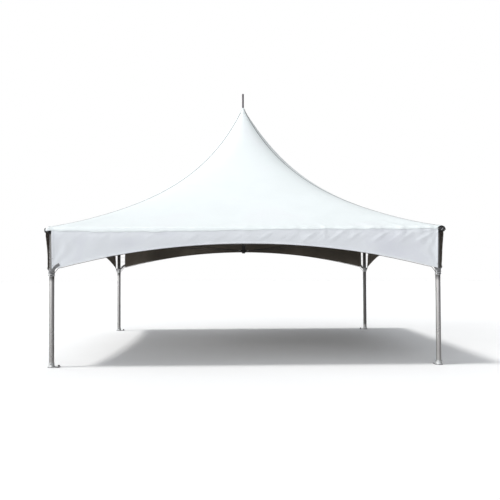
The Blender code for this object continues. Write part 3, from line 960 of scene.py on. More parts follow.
def under_flap(x, z, quarter):
    """How far a valance stands out of its plane to lie behind the top's hanging edge, dying away below it."""
    radius = WRAP_RADIUS + VALANCE_OUT
    down = np.clip(EAVE_AXIS + radius * math.sin(FLAP_TURN) - z, 0, None)
    length = flap_length(x, quarter)
    edge = length * math.cos((FLAP_TURN + FLAP_END) / 2)
    below = np.clip(down - edge, 0, None)
    curl = length * flap_curl(np.minimum(down / edge, 1)) + FLAP_END * 0.05 * (1 - np.exp(-below / 0.05))
    stands = EAVE_AT + radius * math.cos(FLAP_TURN) + curl - valance_plane(z) - VALANCE_OUT
    return stands * bell(below, 0, 0.200)


def top_rows():
    """Distances from the mast at which the top has a row of points: closer together near the peak."""
    shares = np.linspace(0, 1, 40)
    spread = CAP_RIM_AT + (EAVE_AT - CAP_RIM_AT) * shares * (1.35 - 0.35 * shares)
    return np.concatenate([[ROOF_TOP_AT, 0.062], spread])


def top_surface(reach, angle, quarter):
    """Points of one gore: the sweep plus small reliefs.

    They are puckers along its eave, gathers at the peak, and folds and a rise over the joints at its corners.
    """
    radius = level_line(reach, angle)
    x = radius * np.sin(angle)
    y = -radius * np.cos(angle)
    crease = puckers(EAVE_AT * np.tan(angle), quarter)
    near_eave = np.exp(-(EAVE_AT - reach) / 0.12) * smooth_step(EAVE_AT - np.abs(x), 0.0, CORNER_FADE)
    gathers = 0.0016 * np.cos(14 * angle) * np.exp(-reach / 0.30) * smooth_step(reach, 0.075, 0.15)
    corner_away = np.hypot(EAVE_AT - np.abs(x), EAVE_AT + y)
    corner_turn = np.arctan2(EAVE_AT + y, EAVE_AT - np.abs(x) + 1e-6)
    corner_fold = 0.0035 * np.cos(12 * corner_turn) * bell(corner_away, 0.55, 0.40)
    over_joint = TAB_PROUD * bell(corner_away, 0, 0.060)
    z = roof_z(reach) + crease * near_eave + gathers + corner_fold * smooth_step(reach, 1.2, 2.2) + over_joint
    return np.stack([x, y, z], axis=-1)


def top_edge(angles, quarter):
    """Points of one gore's edge: an arc round the eave tube, and then the lap, which curls outwards."""
    top_turn = math.pi / 2 - math.atan(EAVE_SLOPE)
    turn = np.maximum(top_turn + (FLAP_TURN - top_turn) * EDGE_STEPS / WRAP_SHARE, FLAP_TURN)[:, None]
    narrowing = np.clip((turn - NARROW_TURN) / (top_turn - NARROW_TURN), 0, 1) ** 2
    end_at = np.where(angles[None, :] > 0, LAP_HALF, TAB_HALF)
    across = np.tan(angles)[None, :] * (end_at + (EAVE_AT - end_at) * narrowing)
    inside = smooth_step(EAVE_AT - np.abs(across), 0.0, CORNER_FADE)
    out = TOP_WRAP_RADIUS + puckers(across, quarter) * inside
    out = out + TAB_PROUD * smooth_step(np.abs(across), 2.990, 3.040)
    out = out + LAP_PROUD * smooth_step(EDGE_STEPS, *LAP_STEPS)[:, None]
    share = np.clip((EDGE_STEPS - WRAP_SHARE) / HANG_SHARE, 0, 1)[:, None]
    length = flap_length(across, quarter)
    deep = -EAVE_AT - out * np.cos(turn) - length * flap_curl(share)
    high = EAVE_AXIS + out * np.sin(turn) - length * share * math.cos((FLAP_TURN + FLAP_END) / 2)
    return np.stack([across, deep, high], axis=-1)


def make_canopy():
    """The tensioned top as one sheet, from under the peak cap over the eave tubes to its welded edge."""
    reaches = top_rows()
    angles = np.arctan(np.linspace(-1, 1, TOP_COLUMNS))
    reach, angle = np.meshgrid(reaches, angles, indexing="ij")
    on_roof = np.zeros(len(reaches))
    lap = np.concatenate([on_roof, smooth_step(EDGE_STEPS[1:], *LAP_STEPS)])
    # The last rows of the hanging edge carry the edge mark, which paints shade there.
    rim = np.concatenate([on_roof, (EDGE_STEPS[1:] > RIM_STEP).astype(float)])
    points, cloth, weld, edge, faces = [], [], [], [], []
    for quarter in range(4):
        whole = np.concatenate([top_surface(reach, angle, quarter), top_edge(angles, quarter)[1:]])
        down = run_length(whole)
        faces.append(grid_faces(*down.shape, start=quarter * down.size))
        points.append(turned(whole, quarter).reshape(-1, 3))
        cloth.append(np.stack([whole[..., 0], down], axis=-1).reshape(-1, 2))
        weld.append(np.broadcast_to(lap[:, None], down.shape).reshape(-1))
        edge.append(np.broadcast_to(rim[:, None], down.shape).reshape(-1))
    points, cloth, weld, edge = (np.concatenate(item) for item in (points, cloth, weld, edge))
    faces = np.concatenate(faces)
    face_cloth = cloth[faces.reshape(-1)].reshape(-1, 4, 2)[:, ::-1]
    points, faces, (weld, edge) = merged(points, faces, (weld, edge))
    marks = {"weld": weld, "edge": edge}
    top = piece("canopy_top", points, faces[:, ::-1], ("top", "inner_shade"), marks=marks)
    layer = top.data.uv_layers.new(name="cloth")
    layer.data.foreach_set("uv", np.ascontiguousarray(face_cloth.reshape(-1), dtype=np.float32))
    thickened(top, sizes().top_thickness)
    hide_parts(*[f"roof_panel_{side}" for side in SIDES])
    return top


def make_hip_seams():
    """The welded tape over each hip: a strip folded over the hip line, a seam wide, with the top's own rows.

    Each half lies on its own gore, raised along the hip's normal by the tape's thickness.
    """
    reaches = top_rows()[1:]
    reaches[-1] -= 0.004
    shares = np.array([-1.0, -0.94, -0.5, 0.0, 0.5, 0.94, 1.0])
    made = []
    for quarter, corner in enumerate(CORNERS):
        width = sizes().seam_width / 2
        reach, share = np.meshgrid(reaches, shares, indexing="ij")
        aside = np.minimum(np.abs(share) * width / (reach * math.sqrt(2)), 0.14)
        this_gore = top_surface(reach, math.pi / 4 - aside, quarter)
        next_gore = turned(top_surface(reach, aside - math.pi / 4, (quarter + 1) % 4), 1)
        whole = np.where(share[..., None] < 0, this_gore, next_gore)
        ridge = whole[:, 3]
        steep = np.gradient(ridge[:, 2]) / np.gradient(np.hypot(ridge[:, 0], ridge[:, 1]))
        lift = np.where(np.abs(share) > 0.97, 0.0013, 0.0024)
        whole[..., 2] += lift * np.hypot(1, steep)[:, None]
        cloth = np.stack([share * width, reach * 1.6], axis=-1).reshape(-1, 2)
        # The tape's outer edges carry the edge mark, which paints shade there.
        marks = {"weld": np.zeros(reach.size), "edge": (np.abs(share) > 0.9).astype(float).reshape(-1)}
        points = turned(whole, quarter).reshape(-1, 3)
        faces = grid_faces(*reach.shape)[:, ::-1]
        tape = piece(f"hip_seam_{corner}", points, faces, ("seam",), cloth, marks)
        made.append(tape)
    return made


def make_valance(quarter):
    """One arched side strip: round the eave tube under the top's edge, then down to a doubled hem."""
    start, end = VALANCE_ENDS[SIDES[quarter]]
    left_band = [start, start + 0.003, start + END_BAND - 0.001]
    right_band = [end - END_BAND + 0.001, end - 0.003, end]
    between = np.linspace(start + END_BAND + 0.004, end - END_BAND - 0.004, 221)
    x = np.concatenate([left_band, between, right_band])
    turns = np.linspace(VALANCE_START, FLAP_TURN, 6)
    radius = WRAP_RADIUS + VALANCE_OUT
    tangent_z = EAVE_AXIS + radius * math.sin(FLAP_TURN) - 0.004
    crease = CREASE_SHARE * puckers(x, quarter)
    bottom = valance_bottom(x)
    hang = tangent_z - bottom
    spare = HEM_BAND + 0.004
    near = np.array([0.0, 0.012, 0.024, 0.036, 0.048, 0.060])
    fractions = np.linspace(0, 1, 32)[1:, None]
    far = near[-1] + fractions * (hang - spare - near[-1])
    main = tangent_z - np.concatenate([near[:, None] + 0 * x, far])
    hem = bottom + np.array([HEM_BAND, HEM_BAND - 0.003, 0.015, 0.003, 0.0])[:, None]
    z = np.concatenate([main, hem])
    fade = np.exp(-(tangent_z - z) / 0.110)
    doubled = smooth_step(bottom + HEM_BAND - z, 0.0005, 0.0025)
    from_end = np.minimum(x - start, end - x)
    ends = 1 - smooth_step(from_end, END_BAND, END_BAND + 0.0015)
    calm = smooth_step(z - bottom, 0.0, 0.09)
    out = valance_plane(z) + VALANCE_OUT + crease * fade + BAND_PROUD * np.maximum(doubled, ends)
    out = out + valance_waves(x, z, quarter) * calm + under_flap(x, z, quarter)
    hanging = np.stack([np.broadcast_to(x, z.shape), -out, z], axis=-1)
    around = radius + crease + BAND_PROUD * ends
    deep = -EAVE_AT - around * np.cos(turns)[:, None]
    high = EAVE_AXIS + around * np.sin(turns)[:, None]
    whole = np.concatenate([np.stack([np.broadcast_to(x, deep.shape), deep, high], axis=-1), hanging])
    down = run_length(whole)
    cloth = np.stack([whole[..., 0], down], axis=-1).reshape(-1, 2)
    line = 0.7 * bell(z, WELD_LINE_Z, 0.007)
    patch = 0.35 * (1 - smooth_step(from_end + 0.8 * (z - bottom), 0.200, 0.204))
    welded = np.maximum.reduce([doubled, np.broadcast_to(ends, z.shape), line, patch])
    weld = np.concatenate([np.broadcast_to(ends, deep.shape), welded])
    # The hem band's upper row carries half the edge mark, which paints shade along the fold.
    edge = np.zeros(down.shape)
    edge[-len(hem)] = 0.5
    marks = {"weld": weld, "edge": edge}
    name = f"valance_cloth_{SIDES[quarter]}"
    points = turned(whole, quarter).reshape(-1, 3)
    faces = grid_faces(*down.shape)[:, ::-1]
    made = piece(name, points, faces, ("valance", "inner_shade"), cloth, marks)
    thickened(made, sizes().valance_thickness, 1)
    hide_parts(f"valance_{SIDES[quarter]}")


def make_hem_cable(quarter):
    """The cable behind a valance's hem: six strands round a path.

    The path follows the arch, a little lower towards its ends, and then runs out to both brackets.
    """
    radius = sizes().hem_cable_radius
    x = np.linspace(-2.900, 2.900, 101)
    z = valance_bottom(x) - 0.001 - 0.009 * smooth_step(np.abs(x), 1.4, 2.8)
    middle = np.stack([x, -(valance_plane(z) + VALANCE_OUT - 0.0032 - radius), z], axis=-1)
    out = -(LEG_AT + BRACKET_RADIUS + FIT_GAP + radius)
    right = np.array([[LEG_AT - BRACKET_RADIUS, out, BRACKET_Z - 0.006], [LEG_AT, out, BRACKET_Z - 0.012]])
    left = (right * [-1, 1, 1])[::-1]
    path = curve_through(np.concatenate([left, middle, right]), 640)
    profile = strand_profile(run_length(path), radius, HEM_GROOVE, HEM_LAY, 24)
    points, faces = sweep(path, profile, (0, 1, 0))
    points, faces = with_ends(points, faces, profile.shape[1])
    made = piece(f"hem_rope_{SIDES[quarter]}", turned(points, quarter), faces, ("wire",))
    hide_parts(f"hem_cable_{SIDES[quarter]}")


def make_corner_strap(quarter):
    """The webbing between two valances' lower corners, round the leg's bracket: a flat strip, softly thick.

    Its profile is carried along a smooth path, flat to the valances, and to the leg where it nears it.
    """
    half = STRAP_HALF_WIDE
    thick = sizes().webbing_thickness
    front = []
    for inwards, z in ((0.134, 1.594), (0.102, 1.574), (0.070, 1.549), (0.042, 1.514)):
        front.append((LEG_AT - inwards, -(valance_plane(z) + STRAP_PROUD), z))
    hanging = len(front)
    radius = BRACKET_RADIUS + 0.0012 + thick / 2
    for turn in np.radians((0, 15, 30)):
        front.append((LEG_AT + radius * math.sin(turn), -LEG_AT - radius * math.cos(turn), STRAP_Z))
    front = np.array(front)
    diagonal = LEG_AT + radius * math.sin(math.pi / 4)
    back = np.stack([-front[::-1, 1], -front[::-1, 0], front[::-1, 2]], axis=-1)
    if CORNERS[quarter] in STRAP_BEHIND:
        front[:hanging, 1] += 2 * STRAP_PROUD
    path = curve_through(np.concatenate([front, [[diagonal, -diagonal, STRAP_Z]], back]), 141)
    profile = np.array([[across, -thick / 2] for across in (-half, -half * 0.55, half * 0.55, half)])
    profile = np.concatenate([profile, (profile * [1, -1])[::-1]])[::-1]
    along = unit(np.gradient(path, axis=0))
    blend = smooth_step(path[:, 2], 1.585, 1.495)[:, None]
    first_half = (np.arange(len(path)) < len(path) / 2)[:, None]
    from_valance = np.where(first_half, [[0.0, -1.0, 0.0]], [[1.0, 0.0, 0.0]])
    from_leg = unit((path - [LEG_AT, -LEG_AT, 0]) * [1, 1, 0])
    across = unit(np.cross(along, from_valance * (1 - blend) + from_leg * blend))
    out = np.cross(across, along)
    points = path[:, None] + profile[None, :, :1] * across[:, None] + profile[None, :, 1:] * out[:, None]
    lengths = run_length(path)
    cloth = np.stack(np.broadcast_arrays(profile[None, :, 0], lengths[:, None]), axis=-1).reshape(-1, 2)
    cloth = np.concatenate([cloth, [[0, 0], [0, 0]]])
    threads = 0.5 * (np.abs(profile[:, 0]) > half * 0.9)
    marks = {"weld": np.concatenate([np.tile(threads, len(path)), [0, 0]])}
    columns = len(profile)
    faces = grid_faces(len(path), columns, round_u=True)
    flat, faces = with_ends(points.reshape(-1, 3), faces, columns)
    name = f"corner_webbing_{CORNERS[quarter]}"
    made = piece(name, turned(flat, quarter), faces, ("webbing",), cloth, marks)
    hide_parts(f"corner_strap_{CORNERS[quarter]}")
    return made, float(lengths[-1])


def make_peak_cap():
    """The flared cap over the gathered top: a turned profile with a rolled rim, and the hips' tape up it."""
    made = lathe("peak_cone", CONE_PROFILE, CONE_SIDES, ("top", "seam"))
    column = np.arange(len(made.data.polygons)) % CONE_SIDES % (CONE_SIDES // 4)
    made.data.polygons.foreach_set("material_index", np.isin(column, TAPE_COLUMNS).astype(np.int32))
    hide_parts("peak_cap")
    return made


def make_tubes(quarter):
    """One leg and one eave tube, and with the first the mast: turned walls, open at both ends."""
    corner, side = CORNERS[quarter], SIDES[quarter]
    wall = tube_wall(LEG_RADIUS, LEG_LOW, LEG_HIGH)
    leg = turned_about(wall, (LEG_AT, -LEG_AT, 0), (0, 0, 1), ROUND_SIDES, closed=True)
    # The back right leg is darkened by painted shade from near the ground up, the other legs only high up,
    # under the valances.
    finish = "shaded_tube" if corner == SHADED_LEG else "leg"
    made = flat_piece(f"leg_tube_{corner}", [leg], finish, quarter)
    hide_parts(f"leg_{corner}")
    wall = tube_wall(TUBE_RADIUS, -EAVE_HALF, EAVE_HALF)
    eave = turned_about(wall, (0, -EAVE_AT, EAVE_AXIS), (1, 0, 0), ROUND_SIDES, closed=True)
    finish = "beam_y" if quarter % 2 else "beam_x"
    made = flat_piece(f"eave_tube_{side}", [eave], finish, quarter)
    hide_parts(f"eave_beam_{side}")
    if quarter == 0:
        wall = tube_wall(MAST_RADIUS, MAST_LOW, MAST_TOP_Z)
        mast = turned_about(wall, (0, 0, 0), (0, 0, 1), ROUND_SIDES, closed=True)
        # The mast takes the tube finish darkened all along by painted shade.
        made = flat_piece("mast_tube", [mast], "shaded_tube")
        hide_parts("mast")


def make_corner_joint(quarter):
    """One cast corner joint, of turned profiles and one swept flat bar.

    It has two sockets with recessed mouths, screw pads under them, a neck on the leg and the cable's lug.
    """
    crossing = np.array([EAVE_AT, -EAVE_AT, EAVE_AXIS])
    soft = 0.0014
    pad_profile = [(0.0125, 0.0), (0.0125, 0.0038), (0.0110, 0.0052)]
    shapes = []
    for inward, radius in zip(((-1.0, 0, 0), (0, 1.0, 0)), SOCKET_RADII):
        inward = np.array(inward)
        lip = [(0.0300, 0.0140), (0.0300, 0.0010), (0.0309, 0.0), (radius - soft, 0.0), (radius, soft)]
        barrel = [(radius, SOCKET_LONG - soft), (radius - soft, SOCKET_LONG), (0.0320, SOCKET_LONG)]
        shapes.append(turned_about(lip + barrel, crossing - SOCKET_OUT * inward, inward, ROUND_SIDES))
        for reach in PAD_REACHES:
            pad = crossing + reach * inward - [0, 0, radius - 0.0030]
            shapes.append(turned_about(pad_profile, pad, (0, 0, -1), 24))
    neck = [(0.0330, 0.0), (NECK_RADIUS - 0.0010, 0.0), (NECK_RADIUS, 0.0010)]
    neck += [(NECK_RADIUS, 0.0700), (0.0340, 0.0720)]
    shapes.append(turned_about(neck, (LEG_AT, -LEG_AT, EAVE_AXIS - NECK_LOW), (0, 0, 1), ROUND_SIDES))
    start = np.array([LEG_AT, -LEG_AT, LUG_Z])
    along = unit(np.array([-LEG_AT, LEG_AT, HUB_Z - LUG_Z]))
    corners = [[-1, -0.8], [-0.6, -1], [0.6, -1], [1, -0.8], [1, 0.8], [0.6, 1], [-0.6, 1], [-1, 0.8]]
    bar = np.array(corners[::-1]) * [0.0080, 0.0160]
    path = start + np.array([0.010, LUG_REACH - 0.006, LUG_REACH - 0.001, LUG_REACH])[:, None] * along
    shares = np.array([1.0, 1.0, 0.86, 0.72])[:, None, None]
    points, faces = sweep(path, bar * shares, (0, 0, 1))
    shapes.append(with_ends(points, faces, len(bar)))
    made = flat_piece(f"joint_casting_{CORNERS[quarter]}", shapes, "casting", quarter)
    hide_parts(f"corner_fitting_{CORNERS[quarter]}")


def make_clamp(quarter):
    """One leg clamp: a sleeve turned about the leg, with a rolled bead at each end."""
    low, high = BRACKET_Z - BRACKET_HALF_TALL, BRACKET_Z + BRACKET_HALF_TALL
    bore, side, soft = LEG_RADIUS + FIT_GAP, BRACKET_RADIUS, 0.0008
    bead = [(side + 0.0004, 0.0), (side + 0.0020, 0.0012), (side + 0.0026, 0.0035)]
    bead += [(side + 0.0020, 0.0058), (side, 0.0074)]
    outside = [(radius, low + rise) for radius, rise in bead]
    outside += [(radius, high - rise) for radius, rise in bead[::-1]]
    inside = [(bore + soft, high), (bore, high - soft), (bore, low + soft), (bore + soft, low)]
    sleeve = turned_about(outside + inside, (LEG_AT, -LEG_AT, 0), (0, 0, 1), ROUND_SIDES, closed=True)
    made = flat_piece(f"leg_clamp_{CORNERS[quarter]}", [sleeve], "zinc", quarter)
    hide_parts(f"tension_bracket_{CORNERS[quarter]}")


def plate_outline():
    """The foot plate from above, anticlockwise: half round about the leg, then square with soft corners."""
    back = np.radians(np.linspace(90, 270, 49))
    turn = np.radians(np.linspace(-90, 0, 9))
    soft = 0.012
    lower = [PLATE_REACH - soft, soft - PLATE_HALF] + soft * np.stack([np.cos(turn), np.sin(turn)], axis=-1)
    round_back = PLATE_HALF * np.stack([np.cos(back), np.sin(back)], axis=-1)
    return np.concatenate([round_back, lower, lower[::-1] * [1, -1]])


def make_foot(quarter):
    """One foot: the plate's outline raised with soft edges, and a collar turned about the leg. Its lower bevel
    and side are black oxide: painted shade under the plate.
    """
    outline = plate_outline()
    tangent = unit(np.roll(outline, -1, axis=0) - np.roll(outline, 1, axis=0))
    inwards = np.stack([-tangent[:, 1], tangent[:, 0]], axis=-1)
    rings = []
    for inset, z in ((0.0012, 0.0), (0.0, 0.0012), (0.0, PLATE_THICK - 0.0015), (0.0015, PLATE_THICK)):
        rings.append(np.column_stack([outline + inset * inwards, np.full(len(outline), z)]))
    count = len(outline)
    faces = grid_faces(len(rings), count, round_u=True).tolist()
    faces += [list(range(count))[::-1], list(range(3 * count, 4 * count))]
    plate = (np.concatenate(rings), faces)
    share = np.linspace(0, 1, 11)
    flare = np.stack([0.0430 + 0.0090 * (1 - share) ** 1.7, 0.0120 + 0.0320 * share], axis=-1).tolist()
    bore = LEG_RADIUS + FIT_GAP
    top = [(0.0430, 0.0692), (0.0423, 0.0700), (bore + 0.0007, 0.0700), (bore, 0.0692), (bore, 0.0090)]
    collar = turned_about([(0.0520, 0.0090), *flare, *top], (0, 0, 0), (0, 0, 1), ROUND_SIDES, closed=True)
    disc = [(0.0175, 0.0098), (0.0175, 0.0118), (0.0168, 0.0124)]
    washer = turned_about(disc, (STAKE_AT, 0, 0), (0, 0, 1), 32)
    corner = CORNERS[quarter]
    points, faces = gathered([plate, collar, washer])
    # Painted shade: the lower bevel and side of the plate take the black oxide finish.
    shaded_rim = np.zeros(len(faces), np.int32)
    shaded_rim[: 2 * count] = 1
    away = PLATE_TURNS[corner] * math.pi / 2
    turn = np.array([[math.cos(away), math.sin(away), 0], [-math.sin(away), math.cos(away), 0], [0, 0, 1]])
    points = points @ turn + turned(np.array([LEG_AT, -LEG_AT, 0.0]), quarter)
    made = flat_piece(f"foot_plate_{corner}", [(points, faces)], "zinc")
    made.data.materials.append(finish_named("bolt"))
    made.data.polygons.foreach_set("material_index", shaded_rim)
    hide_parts(f"base_plate_{corner}")


def hex_bolt(start, direction, across=0.0065, tall=0.0055, washer=0.0095):
    """A hexagon head on a washer, its top edge chamfered."""
    disc = [(washer, 0.0), (washer, 0.0014), (washer * 0.97, 0.0018)]
    head = [(across, 0.0016), (across, tall), (across * 0.86, tall + 0.0012)]
    return [turned_about(disc, start, direction, 16), turned_about(head, start, direction, 6)]


def make_corner_details(quarter):
    """The sockets' end plugs with their pale ribs, each a painted highlight across a plug's mouth, and the
    screws of one corner joint.
    """
    corner = CORNERS[quarter]
    lip = [(0.0298, -0.0100), (0.0298, 0.0002), (0.0350, 0.0002), (0.0356, 0.0008), (0.0350, 0.0014)]
    dish = [(0.0284, 0.0014), (0.0262, -0.0004), (0.0262, -0.0050)]
    rib_profile = [(0.0040, 0.0), (0.0048, 0.002), (0.0048, 0.043), (0.0040, 0.045)]
    plugs, ribs = [], []
    for direction, across in (((1, 0, 0), (0, 1, 0)), ((0, -1, 0), (1, 0, 0))):
        mouth = np.array([EAVE_AT, -EAVE_AT, EAVE_AXIS]) + SOCKET_OUT * np.array(direction)
        plugs.append(turned_about(lip + dish, mouth, direction, 32))
        slant = (np.array(across) + np.array([0, 0, 1])) / math.sqrt(2)
        rib = mouth - 0.0040 * np.array(direction) - 0.0225 * slant
        ribs.append(turned_about(rib_profile, rib, slant, 8))
    flat_piece(f"socket_plug_{corner}", plugs, "black", quarter)
    # The pale rib across each plug's mouth is a painted highlight.
    flat_piece(f"plug_highlight_rib_{corner}", ribs, "pale", quarter)
    screws = []
    for reach in PAD_REACHES:
        screws += hex_bolt((EAVE_AT - reach, -EAVE_AT, EAVE_AXIS - 0.0396), (0, 0, -1))
        screws += hex_bolt((EAVE_AT, -EAVE_AT + reach, EAVE_AXIS - 0.0392), (0, 0, -1))
    for height in (EAVE_AXIS - 0.052, EAVE_AXIS - 0.100, EAVE_AXIS - 0.135):
        radius = 0.0369 if height > EAVE_AXIS - NECK_LOW else LEG_RADIUS
        screws += hex_bolt((LEG_AT - radius, -LEG_AT, height), (-1, 0, 0), 0.0050, 0.0045, 0.0078)
        screws += hex_bolt((LEG_AT, -LEG_AT + radius, height), (0, 1, 0), 0.0050, 0.0045, 0.0078)
    flat_piece(f"joint_screws_{corner}", screws, "bolt", quarter)


def make_clamp_bolts(quarter):
    """Bolt heads on a leg clamp: two pairs towards each valance."""
    centre = np.array([LEG_AT, -LEG_AT, 0.0])
    bolts = []
    for angle in np.radians((-105, -75, -15, 15)):
        direction = np.array([math.cos(angle), math.sin(angle), 0.0])
        for height in (BRACKET_Z - 0.032, BRACKET_Z + 0.002):
            start = centre + direction * (BRACKET_RADIUS - 0.0006) + [0, 0, height]
            bolts += hex_bolt(start, direction, 0.0075, 0.0060, 0.0108)
    flat_piece(f"clamp_bolts_{CORNERS[quarter]}", bolts, "bolt", quarter)


def make_cross_cable(quarter):
    """One run of the crossing cables: a six-strand rope from the hub's jaw to the turnbuckle."""
    hub = np.array([0.0, 0.0, HUB_Z])
    corner = np.array([LEG_AT, -LEG_AT, LUG_Z])
    whole = float(np.linalg.norm(corner - hub))
    along = (corner - hub) / whole
    start, end = CROSS_FROM_HUB, whole - CROSS_FROM_LUG
    distance = np.linspace(start + 0.040, end - 0.385, 1400)
    profile = strand_profile(distance, CROSS_RADIUS, CROSS_GROOVE, CROSS_LAY, 18)
    points, faces = sweep(hub + distance[:, None] * along, profile, (0, 0, 1))
    points, faces = with_ends(points, faces, profile.shape[1])
    rope = piece(f"cross_rope_{CORNERS[quarter]}", turned(points, quarter), faces, ("wire",))
    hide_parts(f"cross_cable_{CORNERS[quarter]}")
    make_turnbuckle(quarter, hub, along, start, end)


def make_turnbuckle(quarter, hub, along, start, end):
    """The fittings of one crossing cable: the hub's jaw, and the turnbuckle with its two screws and its jaw.

    Start and end are distances from the hub along it. The body is two rails between two six-sided nuts.
    """
    hub_jaw = [(0.0080, 0.0), (0.0110, 0.002), (0.0110, 0.022)]
    hub_jaw += [(0.0085, 0.030), (0.0085, 0.056), (0.0068, 0.062)]
    sleeve = [(0.0070, 0.0), (0.0088, 0.003), (0.0088, 0.032), (0.0070, 0.036)]
    first_nut = [(0.0140, 0.0), (0.0150, 0.002), (0.0150, 0.016), (0.0125, 0.019)]
    last_nut = [(0.0125, 0.0), (0.0150, 0.003), (0.0150, 0.017), (0.0140, 0.019)]
    end_jaw = [(0.0090, 0.0), (0.0110, 0.003), (0.0110, 0.038), (0.0090, 0.0400)]
    fittings = []
    for profile, distance, sides in (
        (hub_jaw, start, 20),
        (sleeve, end - 0.420, 20),
        (first_nut, end - 0.330, 6),
        (last_nut, end - 0.139, 6),
        (end_jaw, end - 0.040, 20),
    ):
        fittings.append(turned_about(profile, hub + distance * along, along, sides))
    for side in (-1, 1):
        rail = np.array([0, 0, 1.0]) * side * 0.0112
        rail = rail - along * float(np.dot(rail, along))
        rod = [(0.0034, 0.0), (0.0034, 0.160)]
        fittings.append(turned_about(rod, hub + (end - 0.305) * along + rail, along, 12))
    for low, high in ((end - 0.386, end - 0.285), (end - 0.165, end - 0.038)):
        count = int((high - low) / 0.0035)
        steps = np.arange(2 * count + 1)
        thread = np.stack([np.where(steps % 2, 0.0068, 0.0056), steps * (high - low) / (2 * count)], axis=-1)
        fittings.append(turned_about(thread, hub + low * along, along, 14))
    flat_piece(f"turnbuckle_{CORNERS[quarter]}", fittings, "steel", quarter)
    pin = [(0.0062, 0.0100), (0.0062, 0.0142), (0.0050, 0.0150)]
    pins = []
    for distance in (start + 0.012, end - 0.012):
        for side in (-1, 1):
            pins.append(turned_about(pin, hub + distance * along, (side, side, 0), 6))
    flat_piece(f"clevis_pins_{CORNERS[quarter]}", pins, "bolt", quarter)


def eyelet(x, y, z):
    """A flat ring in upright cloth: its closed profile of (radius, depth) turned about a line along Y."""
    turns = round_turns(18)
    radius, deep = np.array(EYELET_RING).T[..., None]
    across = x + radius * np.cos(turns)
    points = np.stack([across, np.broadcast_to(y - deep, across.shape), z + radius * np.sin(turns)], axis=-1)
    return points.reshape(-1, 3), grid_faces(*across.shape, round_u=True, round_v=True)


def lacing_loop(way, reach, face, height):
    """A loop of shock cord: out of an eyelet, past the valance's end, round the leg and back to the cloth."""
    x = way * (reach - EYELET_IN)
    near = -(face - 0.0060)
    touch = LEG_RADIUS + CORD_RADIUS
    knots = [
        (x, -(face + 0.0062), height),
        (x + way * 0.010, -(face + 0.0045), height),
        (way * (reach + 0.004), -(face + 0.0010), height - 0.002),
        (way * (reach + 0.010), near, height - 0.004),
    ]
    for turn in np.radians((-30, 20, 70, 120, 170, 220, 265)):
        round_leg = way * (LEG_AT + touch * math.sin(turn))
        knots.append((round_leg, -LEG_AT - touch * math.cos(turn), height - 0.010))
    knots.append((x + way * 0.004, near + 0.004, height - 0.002))
    points, faces = sweep(curve_through(knots, 72), circle_profile(CORD_RADIUS, 8), (0.12, 0.08, 1.0))
    return with_ends(points, faces, 8)


def make_lacing(quarter):
    """Eyelets along both ends of a valance, with loops of shock cord where it ends short of the leg."""
    side = SIDES[quarter]
    start, end = VALANCE_ENDS[side]
    eyelets, cords = [], []
    for way, reach in ((-1, -start), (1, end)):
        for height in EYELET_HEIGHTS:
            face = valance_plane(height) + VALANCE_OUT
            for out in (0.0022, -0.0038):
                eyelets.append(eyelet(way * (reach - EYELET_IN), -(face + out), height))
            if LEG_AT - reach > LACED_GAP:
                cords.append(lacing_loop(way, reach, face, height))
    flat_piece(f"valance_eyelets_{side}", eyelets, "pale", quarter)
    if cords:
        flat_piece(f"valance_lacing_{side}", cords, "cord", quarter)


def make_foot_details(quarter):
    """A weld bead round the collar, two screws in it, and the stake's struck head on one foot plate."""
    corner = CORNERS[quarter]
    centre = np.array([LEG_AT, -LEG_AT, 0.0])
    turns = round_turns(96)
    bead = WELD_RADIUS * (1 + 0.18 * np.sin(turns * 24))[:, None]
    around = round_turns(8)
    radius = WELD_AT[0] + bead * np.cos(around)
    z = WELD_AT[1] + bead * np.sin(around)
    points = np.stack([radius * np.cos(turns)[:, None], radius * np.sin(turns)[:, None], z], axis=-1) + centre
    weld = (points.reshape(-1, 3), grid_faces(*radius.shape, round_u=True, round_v=True)[:, ::-1])
    flat_piece(f"foot_weld_{corner}", [weld], "steel", quarter, 60)
    plate_turn = PLATE_TURNS[corner] * math.pi / 2
    foot = np.array([*turned(centre, quarter)[:2], 0.0])
    away = np.array([math.cos(plate_turn), math.sin(plate_turn), 0.0])
    aside = np.array([-away[1], away[0], 0.0])
    screws = []
    for side in (-1, 1):
        screws += hex_bolt(foot + side * aside * 0.0428 + [0, 0, 0.056], side * aside, 0.0058, 0.0052, 0.0085)
    flat_piece(f"foot_screws_{corner}", screws, "bolt")
    shaft = [(0.0100, 0.0100), (0.0105, 0.0140), (0.0140, 0.0175), (0.0146, 0.0205)]
    head = [(0.0146, 0.0315), (0.0136, 0.0345), (0.0090, 0.0352)]
    cap = turned_about(shaft + head, foot + away * STAKE_AT, (0, 0, 1), 24)
    flat_piece(f"stake_cap_{corner}", [cap], "bolt")


def dress_metalwork():
    """Gives the frame's and rigging's solids finishes of their kind.

    The hub and the spike are seen as they are. Pieces made later stand for the others.
    """
    nodes = {}
    for corner in CORNERS:
        nodes[f"leg_{corner}"] = "leg"
        nodes[f"base_plate_{corner}"] = "steel"
        nodes[f"corner_fitting_{corner}"] = "casting"
        nodes[f"tension_bracket_{corner}"] = "steel"
        nodes[f"cross_cable_{corner}"] = "wire"
        nodes[f"corner_strap_{corner}"] = "webbing"
    for side, finish in zip(SIDES, ("beam_x", "beam_y", "beam_x", "beam_y")):
        nodes[f"eave_beam_{side}"] = finish
        nodes[f"hem_cable_{side}"] = "wire"
    # The mast's solid takes the tube finish darkened by painted shade.
    nodes.update({"mast": "shaded_tube", "mast_hub": "casting", "mast_spike": "spike"})
    for name, finish in nodes.items():
        made = bpy.data.objects[name]
        for slot in made.material_slots:
            slot.material = finish_named(finish)


# The stage


